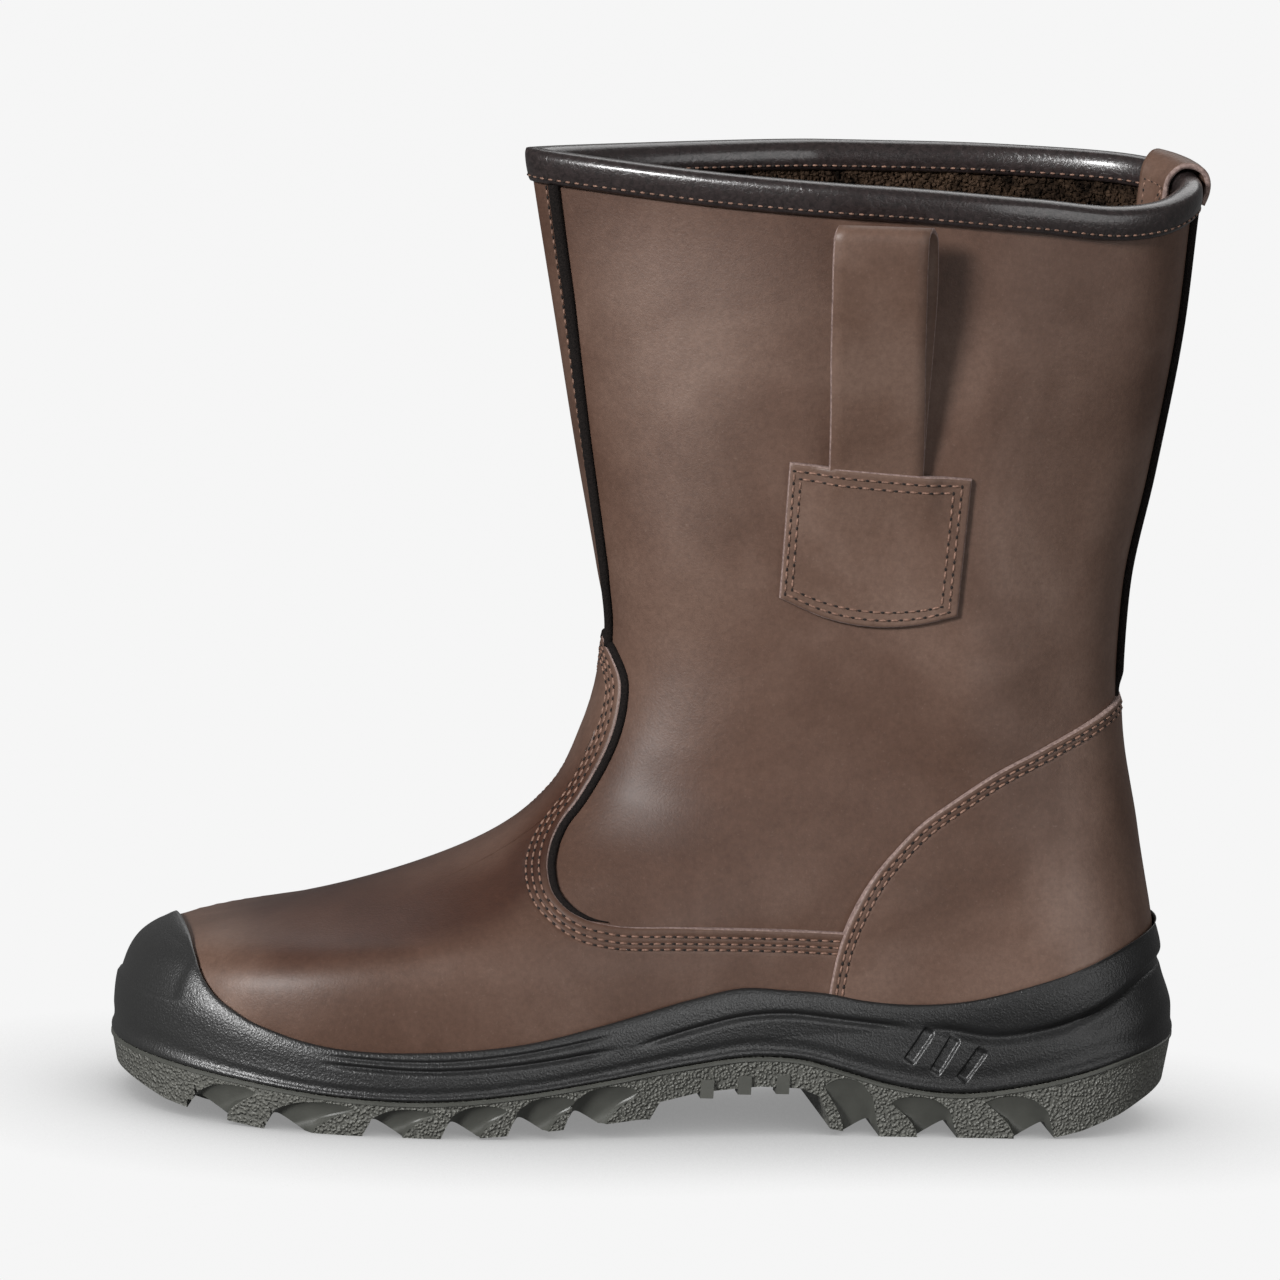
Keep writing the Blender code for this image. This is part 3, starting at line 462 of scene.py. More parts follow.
def counter_edge():
    """Turn and level along the counter's edge, from the medial side over the back to the lateral side."""
    turn, level = half_edge(COUNTER_EDGE, pi)
    return np.concatenate([2 * pi - turn[:-1], turn[::-1]]), np.concatenate([level[:-1], level[::-1]])


def grid_faces(rows, columns, wrap_rows=False, wrap_columns=False):
    """Faces of a grid of points, row by row."""
    row = np.arange(rows if wrap_rows else rows - 1)
    column = np.arange(columns if wrap_columns else columns - 1)
    low = (row * columns)[:, None]
    high = ((row + 1) % rows * columns)[:, None]
    beside = (column + 1) % columns
    return np.stack([low + column, low + beside, high + beside, high + column], axis=-1).reshape(-1, 4)


def add_piece(name, points, faces, finishes, face_finish=None, painted_light_and_tone=None):
    """A smooth mesh object from points in millimetres."""
    points = np.asarray(points, float).reshape(-1, 3) * METRES
    mesh = bpy.data.meshes.new(name)
    mesh.from_pydata(points.tolist(), [], [list(map(int, face)) for face in faces])
    for finish in finishes:
        mesh.materials.append(finish)
    count = len(mesh.polygons)
    if face_finish is not None:
        mesh.polygons.foreach_set("material_index", np.asarray(face_finish, np.int32))
    mesh.polygons.foreach_set("use_smooth", np.ones(count, bool))
    # A point attribute of darkening: painted shade and painted highlight, and the leather's own tone
    if painted_light_and_tone is not None:
        layer = mesh.attributes.new("painted_light_and_tone", "FLOAT", "POINT")
        layer.data.foreach_set("value", np.asarray(painted_light_and_tone, np.float32).reshape(-1))
    mesh.update()
    obj = bpy.data.objects.new(name, mesh)
    bpy.context.scene.collection.objects.link(obj)
    return obj


def dress(piece, slot, *nodes):
    """Hangs a piece under the root body and hides the solids it stands for; slot is not used."""
    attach(piece, "root")
    if nodes:
        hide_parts(*nodes)


# Materials

def new_finish(name, colour, roughness):
    material = bpy.data.materials.new(name)
    material.use_nodes = True
    tree = material.node_tree
    shader = tree.nodes["Principled BSDF"]
    shader.inputs["Base Color"].default_value = (*colour, 1.0)
    shader.inputs["Roughness"].default_value = roughness
    place = tree.nodes.new("ShaderNodeTexCoord").outputs["Object"]
    return material, tree, shader, place


def add_noise(tree, place, scale, detail=3.0, roughness=0.55, distortion=0.0):
    noise = tree.nodes.new("ShaderNodeTexNoise")
    noise.inputs["Scale"].default_value = scale
    noise.inputs["Detail"].default_value = detail
    noise.inputs["Roughness"].default_value = roughness
    noise.inputs["Distortion"].default_value = distortion
    tree.links.new(place, noise.inputs["Vector"])
    return noise.outputs["Fac"]


def add_cells(tree, place, scale):
    """Distance from the middles of small rounded cells."""
    cells = tree.nodes.new("ShaderNodeTexVoronoi")
    cells.feature = "SMOOTH_F1"
    cells.inputs["Scale"].default_value = scale
    tree.links.new(place, cells.inputs["Vector"])
    return cells.outputs["Distance"]


def add_ramp(tree, value, stops):
    """Colours over a value from 0 to 1."""
    ramp = tree.nodes.new("ShaderNodeValToRGB")
    elements = ramp.color_ramp.elements
    while len(elements) < len(stops):
        elements.new(0.5)
    for element, (at, colour) in zip(elements, stops):
        element.position = at
        element.color = (*colour, 1.0)
    tree.links.new(value, ramp.inputs["Fac"])
    return ramp.outputs["Color"]


def add_range(tree, value, start, end, low, high):
    node = tree.nodes.new("ShaderNodeMapRange")
    for name, number in (("From Min", start), ("From Max", end), ("To Min", low), ("To Max", high)):
        node.inputs[name].default_value = number
    tree.links.new(value, node.inputs["Value"])
    return node.outputs["Result"]


def add_mix(tree, share, first, second, blend="MIX"):
    """Two colours mixed by a share; a colour given as numbers is set on its socket."""
    mix = tree.nodes.new("ShaderNodeMix")
    mix.data_type = "RGBA"
    mix.blend_type = blend
    for name, value in (("Factor", share), ("A", first), ("B", second)):
        kind = "VALUE" if name == "Factor" else "RGBA"
        socket = next(s for s in mix.inputs if s.name == name and s.type == kind)
        if isinstance(value, bpy.types.NodeSocket):
            tree.links.new(value, socket)
        else:
            socket.default_value = value if name == "Factor" else (*value, 1.0)
    return next(s for s in mix.outputs if s.type == "RGBA")


def add_bump(tree, shader, height, depth, strength=1.0):
    bump = tree.nodes.new("ShaderNodeBump")
    bump.inputs["Strength"].default_value = strength
    bump.inputs["Distance"].default_value = depth * METRES
    tree.links.new(height, bump.inputs["Height"])
    tree.links.new(bump.outputs["Normal"], shader.inputs["Normal"])


# The leather's clouds, from dark and reddish to pale and greyish
LEATHER_DARK = (0.092, 0.05, 0.034)
LEATHER_MIDDLE = (0.122, 0.071, 0.051)
LEATHER_LIGHT = (0.155, 0.097, 0.073)


def leather_finish(name, dark, middle, light):
    """Oiled leather: cloudy browns, small pale specks, a fine pebble grain and a waxy sheen."""
    material, tree, shader, place = new_finish(name, middle, 0.5)
    clouds = add_noise(tree, place, 15.0, 5.0, 0.58, 0.4)
    mottle = add_noise(tree, place, 600.0, 4.0, 0.75)
    cloud_colour = add_ramp(tree, clouds, ((0.38, dark), (0.5, middle), (0.62, light)))
    mottle_colour = add_ramp(tree, mottle, ((0.3, (0.8, 0.79, 0.785)), (0.7, (1.18, 1.19, 1.195))))
    colour = add_mix(tree, 0.8, cloud_colour, mottle_colour, "MULTIPLY")
    specks = add_range(tree, add_noise(tree, place, 1100.0, 1.0), 0.66, 0.8, 0.0, 0.3)
    colour = add_mix(tree, specks, colour, (0.2, 0.14, 0.11))
    # Darkening from a point attribute: painted shade and painted highlight on the shaft and the vamp's crest,
    # and the leather's own tone elsewhere
    painted_light_and_tone = tree.nodes.new("ShaderNodeAttribute")
    painted_light_and_tone.attribute_name = "painted_light_and_tone"
    colour = add_mix(tree, painted_light_and_tone.outputs["Fac"], colour, (0.4, 0.26, 0.2), "MULTIPLY")
    tree.links.new(colour, shader.inputs["Base Color"])
    tree.links.new(add_range(tree, clouds, 0.3, 0.7, 0.54, 0.44), shader.inputs["Roughness"])
    shader.inputs["Specular IOR Level"].default_value = 0.38
    shader.inputs["Coat Weight"].default_value = 0.05
    shader.inputs["Coat Roughness"].default_value = 0.35
    add_bump(tree, shader, add_noise(tree, place, 1300.0, 3.0, 0.65, 0.3), 0.16, 0.5)
    return material


def raw_edge_finish():
    material, tree, shader, place = new_finish("raw_leather_edge", (0.25, 0.17, 0.145), 0.85)
    fibres = add_noise(tree, place, 900.0, 3.0)
    colour = add_ramp(tree, fibres, ((0.3, (0.13, 0.085, 0.075)), (0.7, (0.3, 0.215, 0.19))))
    tree.links.new(colour, shader.inputs["Base Color"])
    add_bump(tree, shader, fibres, 0.25, 0.6)
    return material


def binding_finish():
    """Glossy black-brown leather with fine crosswise wrinkles."""
    material, tree, shader, place = new_finish("binding_leather", (0.016, 0.012, 0.011), 0.3)
    wrinkles = add_noise(tree, place, 700.0, 3.0, 0.6, 0.8)
    colour = add_ramp(tree, wrinkles, ((0.35, (0.012, 0.0085, 0.0083)), (0.7, (0.034, 0.025, 0.0245))))
    tree.links.new(colour, shader.inputs["Base Color"])
    tree.links.new(add_range(tree, wrinkles, 0.3, 0.7, 0.36, 0.26), shader.inputs["Roughness"])
    shader.inputs["Coat Weight"].default_value = 0.4
    shader.inputs["Coat Roughness"].default_value = 0.15
    add_bump(tree, shader, wrinkles, 0.2, 0.7)
    return material


def velvet_finish():
    material, tree, shader, place = new_finish("piping_velvet", (0.008, 0.0065, 0.006), 0.95)
    pile = add_noise(tree, place, 1900.0, 2.0)
    colour = add_ramp(tree, pile, ((0.3, (0.003, 0.0021, 0.0019)), (0.75, (0.013, 0.0095, 0.0085))))
    tree.links.new(colour, shader.inputs["Base Color"])
    shader.inputs["Specular IOR Level"].default_value = 0.2
    add_bump(tree, shader, pile, 0.35, 0.9)
    return material


def thread_finish():
    material, tree, shader, place = new_finish("tan_thread", (0.22, 0.125, 0.09), 0.65)
    twist = add_noise(tree, place, 1500.0, 2.0)
    colour = add_ramp(tree, twist, ((0.3, (0.1, 0.053, 0.036)), (0.7, (0.29, 0.165, 0.118))))
    tree.links.new(colour, shader.inputs["Base Color"])
    return material


# Dark blobs on the leather standing for the shade inside needle holes: painted shade
def needle_hole_finish():
    material, tree, shader, place = new_finish("needle_hole", (0.012, 0.008, 0.007), 0.9)
    depth = add_noise(tree, place, 900.0)
    colour = add_ramp(tree, depth, ((0.3, (0.008, 0.005, 0.004)), (0.7, (0.018, 0.012, 0.01))))
    tree.links.new(colour, shader.inputs["Base Color"])
    return material


def pile_finish(name, dark, light):
    material, tree, shader, place = new_finish(name, dark, 0.95)
    curls = add_noise(tree, place, 90.0, 5.0, 0.75)
    colour = add_ramp(tree, curls, ((0.42, dark), (0.64, light)))
    tree.links.new(colour, shader.inputs["Base Color"])
    shader.inputs["Specular IOR Level"].default_value = 0.05
    add_bump(tree, shader, add_noise(tree, place, 1800.0, 3.0), 1.0, 0.9)
    return material


# Where along the boot the toe's paler grey, a painted sheen, fades out, and where the heel's duller black
# sets in
TOE_PAINTED_SHEEN, DULL_HEEL = (-150.0, -95.0), (20.0, 120.0)


def midsole_finish():
    """Satin black foam rubber with a very fine moulded grain."""
    material, tree, shader, place = new_finish("black_midsole", (0.012, 0.012, 0.0122), 0.45)
    clouds = add_noise(tree, place, 60.0, 3.0)
    grain = add_noise(tree, place, 1500.0, 2.0)
    along = tree.nodes.new("ShaderNodeSeparateXYZ")
    tree.links.new(place, along.inputs["Vector"])
    colour = add_ramp(tree, clouds, ((0.3, (0.007, 0.007, 0.0072)), (0.7, (0.012, 0.012, 0.0122))))
    # A paler grey on the toe: a painted sheen of light on the bumper
    toe_sheen = add_range(tree, along.outputs["X"], TOE_PAINTED_SHEEN[0] * METRES, TOE_PAINTED_SHEEN[1] * METRES, 1.0, 0.0)
    colour = add_mix(tree, toe_sheen, colour, (0.018, 0.018, 0.0178))
    tree.links.new(colour, shader.inputs["Base Color"])
    tree.links.new(add_range(tree, grain, 0.3, 0.7, 0.48, 0.34), shader.inputs["Roughness"])
    gloss = add_range(tree, along.outputs["X"], DULL_HEEL[0] * METRES, DULL_HEEL[1] * METRES, 0.85, 0.5)
    tree.links.new(gloss, shader.inputs["Specular IOR Level"])
    add_bump(tree, shader, grain, 0.3, 0.7)
    return material


def pebbled_rubber_finish():
    material, tree, shader, place = new_finish("pebbled_outsole", (0.09, 0.09, 0.075), 0.6)
    pebbles = add_range(tree, add_cells(tree, place, 1200.0), 0.1, 0.6, 1.0, 0.0)
    # Paler on the pebbles' tops, darker between them: a painted highlight on the relief
    colour = add_ramp(tree, pebbles, ((0.2, (0.085, 0.085, 0.075)), (0.75, (0.15, 0.15, 0.133))))
    tree.links.new(colour, shader.inputs["Base Color"])
    tree.links.new(add_range(tree, pebbles, 0.2, 0.9, 0.6, 0.36), shader.inputs["Roughness"])
    add_bump(tree, shader, pebbles, 0.8, 1.0)
    return material


def smooth_rubber_finish():
    material, tree, shader, place = new_finish("smooth_outsole", (0.065, 0.066, 0.058), 0.45)
    clouds = add_noise(tree, place, 120.0, 3.0)
    colour = add_ramp(tree, clouds, ((0.3, (0.055, 0.056, 0.049)), (0.7, (0.075, 0.076, 0.067))))
    tree.links.new(colour, shader.inputs["Base Color"])
    add_bump(tree, shader, add_noise(tree, place, 1400.0), 0.08, 0.5)
    return material


def felt_finish():
    material, tree, shader, place = new_finish("insole_felt", (0.05, 0.034, 0.024), 0.95)
    fibres = add_noise(tree, place, 800.0, 4.0)
    colour = add_ramp(tree, fibres, ((0.3, (0.03, 0.02, 0.014)), (0.7, (0.08, 0.055, 0.038))))
    tree.links.new(colour, shader.inputs["Base Color"])
    add_bump(tree, shader, fibres, 0.5, 0.8)
    return material


# How far the boot's painted soft shadow reaches over the floor, and the rays that find it
FLOOR_SHADE, FLOOR_SHADE_RAYS = 75.0, 4


def floor_finish():
    """A pale floor, evenly lit from below like a light table, with a soft shadow painted into its glow close
    to the boot.
    """
    material, tree, shader, place = new_finish("pale_floor", (0.0, 0.0, 0.0), 0.9)
    cloud = add_noise(tree, place, 0.7, 1.0)
    shade = tree.nodes.new("ShaderNodeAmbientOcclusion")
    shade.samples = FLOOR_SHADE_RAYS
    shade.inputs["Distance"].default_value = FLOOR_SHADE * METRES
    grey = ((0.0, (0.25, 0.25, 0.25)), (0.5, (0.5, 0.5, 0.5)), (1.0, (0.924, 0.924, 0.924)))
    # The glow darkened where the boot hides the floor: a painted shadow
    colour = add_ramp(tree, shade.outputs["AO"], grey)
    colour = add_mix(tree, cloud, colour, (0.993, 0.993, 0.993), "MULTIPLY")
    tree.links.new(colour, shader.inputs["Emission Color"])
    shader.inputs["Specular IOR Level"].default_value = 0.0
    shader.inputs["Emission Strength"].default_value = 1.0
    return material


# Leather pieces

# Points around the upper, and rows up its outside and down its inside
UPPER_AROUND, UPPER_ROWS_OUT, UPPER_ROWS_IN = 256, 200, 80
# Painted shade and painted highlight on the shaft's leather, darker and paler places: x, height, half length,
# half height, change of the darkening
# An even darkening of the whole shaft, lessened where a highlight is painted
SHAFT_BASE_DARKENING = 0.3
SHAFT_PAINTED_LIGHT_AND_SHADE = (
    (-4.0, 264.0, 70.0, 20.0, 0.14),
    (0.0, 209.0, 22.0, 45.0, -0.24),
    (-6.0, 97.0, 20.0, 24.0, 0.3),
    (106.0, 180.0, 30.0, 90.0, -0.3),
)


# The shaft's darkening, deepened for painted shade and lessened for painted highlight
def shaft_painted_light_and_shade(points):
    x, _, z = np.moveaxis(points, -1, 0)
    tone = np.full(x.shape, SHAFT_BASE_DARKENING)
    for middle_x, middle_z, long, tall, rise in SHAFT_PAINTED_LIGHT_AND_SHADE:
        tone += rise * np.exp(-(((x - middle_x) / long) ** 2) - ((z - middle_z) / tall) ** 2)
    return np.clip(tone, 0, 1)


# The counter's darkening, and the x between which it fades out towards the heel
COUNTER_DARKENING, COUNTER_FADE = 0.2, (90.0, 125.0)


def counter_darkening(points):
    return COUNTER_DARKENING * (1 - ease(points[..., 0], *COUNTER_FADE))


def add_upper(leather, lining):
    """The shaft and foot: leather outside, pile lining inside, closed over the top and under the foot."""
    turns = np.linspace(0, 2 * pi, UPPER_AROUND, endpoint=False)
    outside = np.linspace(PANEL_START, COLLAR_LEVEL, UPPER_ROWS_OUT)
    inside = np.linspace(COLLAR_LEVEL, PANEL_START, UPPER_ROWS_IN)
    levels = np.concatenate([outside, inside])
    lifts = np.concatenate([np.zeros(UPPER_ROWS_OUT), np.full(UPPER_ROWS_IN, -WALL)])
    points = form(turns[None, :], levels[:, None], lifts[:, None])
    faces = grid_faces(len(levels), UPPER_AROUND, wrap_rows=True, wrap_columns=True)
    finish = np.repeat(np.where(np.arange(len(levels)) < UPPER_ROWS_OUT, 0, 1), UPPER_AROUND)
    piece = add_piece("leather_upper", points, faces, (leather, lining), finish, shaft_painted_light_and_shade(points))
    dress(piece, "upper_leather", "upper")


# A seam's dent: half width and how far its shoulders lie below the panel's face, then the row after the last
SEAM_HALF_WIDE, SEAM_SHOULDER, AFTER_SEAMS = 0.45, 0.05, 1.4
# Rows of a panel between its seams and its base, and how many bands of faces at the edge show raw leather
PANEL_ROWS, RAW_BANDS = 26, 3
LAP_FROM = 0.5  # rows of a panel over this height follow its lap


def panel_rows(seams):
    """Distances inside the edge and heights of a panel's rows, with a dent along each seam."""
    rows = list(RAW_EDGE)
    for seam in seams:
        rows.append((seam - SEAM_HALF_WIDE, PANEL_TOP - SEAM_SHOULDER))
        rows.append((seam, PANEL_TOP - SEAM_DENT))
        rows.append((seam + SEAM_HALF_WIDE, PANEL_TOP - SEAM_SHOULDER))
    rows.append((seams[-1] + AFTER_SEAMS, PANEL_TOP))
    return rows


def add_panel(name, edge, seams, base_turns, leather, raw, lap, painted_light_and_tone_at, slot, node):
    """An overlay from its raw edge down to the feather line. lap lifts it over another panel."""
    turn, level = edge
    rows = panel_rows(seams)
    lines = [inset_line(turn, level, distance) + (np.full(len(turn), lift),) for distance, lift in rows]
    last_turn, last_level, last_lift = lines[-1]
    for share in np.linspace(0, 1, PANEL_ROWS + 1)[1:]:
        lines.append((
            last_turn + share * (base_turns - last_turn),
            last_level + share * (PANEL_START - last_level),
            last_lift,
        ))
    turns, levels, lifts = (np.array(column) for column in zip(*lines))
    lifts = lifts + lap(turns, levels) * (lifts > LAP_FROM)
    points = form(turns, levels, lifts)
    faces = grid_faces(len(lines), len(turn))
    band = np.repeat(np.arange(len(lines) - 1), len(turn) - 1)
    finish = np.where(band < RAW_BANDS, 1, 0)
    piece = add_piece(name, points, faces, (leather, raw), finish, painted_light_and_tone_at(points))
    dress(piece, slot, node)


def spread(edge, first, last):
    """Turns spread along a panel's base in step with its edge."""
    points = skin(*edge)
    run = np.concatenate([[0], np.cumsum(np.linalg.norm(np.diff(points, axis=0), axis=1))])
    return first + (last - first) * run / run[-1]


# The vamp's darkening, painted shade along its crest over an even darker tone: the crest's line as x and
# height, its half height, the tones of the vamp and the crest, and the distances forward over which the crest
# sets in and all of it fades out at the toe
VAMP_CREST = ((-150, 56), (-116, 54), (-91, 58), (-67, 63), (-46, 72), (-22, 101), (0, 120))
CREST_HALF_TALL, VAMP_BASE_TONE, CREST_PAINTED_SHADE = 8.0, 0.24, 0.9
CREST_SETS_IN, TOE_FADE = (0.0, 40.0), (108.0, 134.0)


def vamp_crest_shade_and_tone(points):
    """Painted shade, darker and redder, along the crest of the vamp, over an even darker tone of the vamp,
    fading out at the toe.
    """
    x, _, z = np.moveaxis(points, -1, 0)
    near_crest = np.exp(-(((z - read(VAMP_CREST, x)) / CREST_HALF_TALL) ** 2))
    tone = VAMP_BASE_TONE + CREST_PAINTED_SHADE * near_crest * ease(-x, *CREST_SETS_IN)
    return np.clip(tone, 0, 1) * (1 - ease(-x, *TOE_FADE))


def no_lap(turns, levels):
    return np.zeros(turns.shape)


def add_vamp(leather, raw):
    edge = vamp_edge()
    base = spread(edge, edge[0][0], edge[0][-1])
    add_panel(
        "vamp_panel", edge, VAMP_SEAMS, base, leather, raw, no_lap, vamp_crest_shade_and_tone, "upper_leather", "vamp",
    )


# The counter's lap over the vamp: turn of its front edge, rise, levels and turns over which it fades out
LAP_TURN, LAP_RISE, LAP_LEVELS, LAP_TURNS = 1.9, 1.1, (62.0, 74.0), (0.05, 0.22)


def counter_lap(turns, levels):
    """The counter's front edge lies over the vamp's low band."""
    from_front = np.minimum(np.abs(turns - LAP_TURN), np.abs(2 * pi - turns - LAP_TURN))
    return LAP_RISE * (1 - ease(levels, *LAP_LEVELS)) * (1 - ease(from_front, *LAP_TURNS))


def add_counter(leather, raw):
    edge = counter_edge()
    base = spread(edge, edge[0][0], edge[0][-1])
    add_panel(
        "heel_counter", edge, COUNTER_SEAMS, base, leather, raw, counter_lap, counter_darkening,
        "upper_leather", "counter",
    )


def patch_point(across, down):
    """x and height on a strap patch: across from its front side, down from its top, as shares."""
    top = np.array(PATCH_TOP[0]) + across[..., None] * (np.array(PATCH_TOP[1]) - np.array(PATCH_TOP[0]))
    foot_rows = np.array(PATCH_FOOT)
    foot_x = foot_rows[0, 0] + across * (foot_rows[-1, 0] - foot_rows[0, 0])
    foot = np.stack([foot_x, read(PATCH_FOOT, foot_x)], axis=-1)
    return top + down[..., None] * (foot - top)


PATCH_WIDE, PATCH_TALL = 53.0, 43.0
# A patch's face from its edge inwards: distance inside and height, with the height of its very rim
PATCH_EDGE = ((0.0, 0.9), (0.12, 1.4), (0.4, 1.72), (1.0, PANEL_TOP))
PATCH_RIM, PATCH_STEPS = 0.1, 30
# The strap's ends under a patch: shares across and down over which the patch rises and falls, and its rise
STRAP_RISES, STRAP_FALLS, STRAP_ENDS, STRAP_SWELL = (0.12, 0.26), (0.74, 0.88), (0.0, 0.45), 2.2
# The patch's open top, where the strap comes out: half width as a share, and the rim's share of the rise
MOUTH_HALF_WIDE, MOUTH_RISE = 0.38, 0.6


def patch_place(across, down, side):
    """Turn and level on a patch of one side."""
    point = patch_point(across, down)
    turn, level = on_side(point[..., 0], point[..., 1])
    return (turn if side == LATERAL else 2 * pi - turn), level


def patch_swell(across, down):
    """The patch rises over the strap's ends that are sewn under it."""
    over_strap = ease(across, *STRAP_RISES) * (1 - ease(across, *STRAP_FALLS))
    return STRAP_SWELL * over_strap * (1 - ease(down, *STRAP_ENDS))


def add_patch(name, side, leather, raw, node):
    """A stitched patch over the strap's ends, with raw edges all round."""
    edge = np.array(PATCH_EDGE)[:, 0]
    share = np.linspace(0, 1, PATCH_STEPS)
    across = np.unique(np.concatenate([edge / PATCH_WIDE, share, 1 - edge / PATCH_WIDE]))
    down = np.unique(np.concatenate([edge / PATCH_TALL, share, 1 - edge / PATCH_TALL]))
    across = np.concatenate([across[:1], across, across[-1:]])
    down = np.concatenate([down[:1], down, down[-1:]])
    grid_across, grid_down = np.meshgrid(across, down)
    from_sides = np.minimum(grid_across, 1 - grid_across) * PATCH_WIDE
    from_ends = np.minimum(grid_down, 1 - grid_down) * PATCH_TALL
    inside = np.minimum(from_sides, from_ends)
    rim = np.ones(inside.shape, bool)
    rim[1:-1, 1:-1] = False
    lift = straight(PATCH_EDGE, inside) + patch_swell(grid_across, grid_down)
    lift = np.where(rim, PATCH_RIM, lift)
    at_mouth = np.abs(across - 0.5) < MOUTH_HALF_WIDE
    lift[0] = np.where(at_mouth, patch_swell(across, 0.0) * MOUTH_RISE, lift[0])
    turn, level = patch_place(grid_across, grid_down, side)
    points = form(turn, level, lift)
    faces = grid_faces(len(down), len(across))
    rows, columns = np.divmod(np.arange(len(faces)), len(across) - 1)
    last_row, last_column = len(down) - 2, len(across) - 2
    at_ends = np.minimum(rows, last_row - rows) < RAW_BANDS
    at_rim = at_ends | (np.minimum(columns, last_column - columns) < RAW_BANDS)
    if side == LATERAL:
        faces = faces[:, ::-1]
    piece = add_piece(name, points, faces, (leather, raw), np.where(at_rim, 1, 0), np.zeros(inside.shape))
    dress(piece, "upper_leather", node)


STRIP_EDGE_OUT = 0.35  # the middle of a strip's raw edge stands out this far


def add_strip(name, middle, leather, raw, thick, slot, node):
    """A leather strip with raw edges around its middle surface, rows along its length."""
    rows, columns = middle.shape[:2]
    along = np.gradient(middle, axis=0)
    across = unit(np.gradient(middle, axis=1))
    face = unit(np.cross(across, along)) * thick / 2
    edge_first = middle[:, :1] - STRIP_EDGE_OUT * across[:, :1]
    edge_last = middle[:, -1:] + STRIP_EDGE_OUT * across[:, -1:]
    over, under = middle + face, (middle - face)[:, ::-1]
    ring = np.concatenate([edge_first, over, edge_last, under], axis=1)
    count = ring.shape[1]
    faces = grid_faces(rows, count, wrap_columns=True)
    column = np.tile(np.arange(count), rows - 1)
    is_edge = np.isin(column, (0, columns, columns + 1, count - 1))
    ends = [list(range(count))[::-1], list(range((rows - 1) * count, rows * count))]
    finish = np.concatenate([np.where(is_edge, 1, 0), (1, 1)])
    all_faces = [list(f) for f in faces] + ends
    piece = add_piece(name, ring, all_faces, (leather, raw), finish, np.zeros(rows * count))
    dress(piece, slot, node)


# Steps along the strap, the tab and the binding's profile, and the points across or around each
STRAP_STEP, STRAP_COLUMNS = 1.6, 9
TAB_STEP, TAB_COLUMNS = 1.0, 17
BINDING_STEP, BINDING_AROUND = 0.55, 300


def add_strap(name, side, leather, raw, node):
    """A pull strap, folded in two at its top."""
    path = smooth_line(STRAP_PATH, STRAP_STEP)
    across = np.linspace(-0.5, 0.5, STRAP_COLUMNS) * STRAP_WIDE
    middle = np.zeros((len(path), len(across), 3))
    turn = turn_at(STRAP_X, path[:, 2])
    y = np.abs(skin(turn, path[:, 2])[:, 1]) + path[:, 1]
    middle[..., 0] = STRAP_X + path[:, :1] + across
    middle[..., 1] = side * y[:, None]
    middle[..., 2] = path[:, 2:]
    add_strip(name, middle, leather, raw, STRAP_THICK, "strap_leather", node)


def add_tab(leather, raw):
    """The hanger loop over the binding at the back."""
    path = smooth_line(TAB_PATH, TAB_STEP)
    turns = np.linspace(TAB_TURN - TAB_HALF_TURN, TAB_TURN + TAB_HALF_TURN, TAB_COLUMNS)
    levels = np.minimum(path[:, 1], LEVELS[-1])
    middle = form(turns[None, :], levels[:, None], path[:, :1])
    middle[..., 2] = path[:, 1:] - collar_drop(turns)
    add_strip("hanger_tab", middle, leather, raw, TAB_THICK, "strap_leather", "back_tab")


def binding_lift(turns, lift):
    """The binding's distance out around the collar, with its outer leg thinner at the front fold."""
    at_fold = 1 - ease(np.minimum(turns, 2 * pi - turns), 0.0, TIP_HALF_TURN)
    thinned = BINDING_GAP + (lift - BINDING_GAP) * (1 - (1 - TIP_SHARE) * at_fold)
    return np.where(lift > BINDING_GAP, thinned, lift)


def add_binding(finish):
    """The rolled binding over the collar's edge."""
    closed = BINDING + BINDING[:1]
    profile = smooth_line(closed, BINDING_STEP)[:-1]
    turns = np.linspace(0, 2 * pi, BINDING_AROUND, endpoint=False)
    points = form(turns[None, :], profile[:, 1:], binding_lift(turns[None, :], profile[:, :1]))
    points[..., 2] = profile[:, 1:] - collar_drop(turns)
    faces = grid_faces(len(profile), len(turns), wrap_rows=True, wrap_columns=True)
    piece = add_piece("collar_roll", points, faces, (finish,))
    dress(piece, "trim_leather", "collar_binding")


def tube(turn, level, lift, radius, sides=12):
    """Points and faces of a cord along a line on the upper."""
    normal = outward(turn, level)
    path = form(turn, level, lift)
    across = unit(np.cross(normal, np.gradient(path, axis=0)))
    angle = np.linspace(0, 2 * pi, sides, endpoint=False)[None, :, None]
    radius = np.broadcast_to(radius, (len(path),))[:, None, None]
    points = path[:, None] + radius * (np.cos(angle) * normal[:, None] + np.sin(angle) * across[:, None])
    faces = [list(face) for face in grid_faces(len(path), sides, wrap_columns=True)[:, ::-1]]
    last = (len(path) - 1) * sides
    faces += [list(range(sides)), [last + i for i in reversed(range(sides))]]
    return points, faces


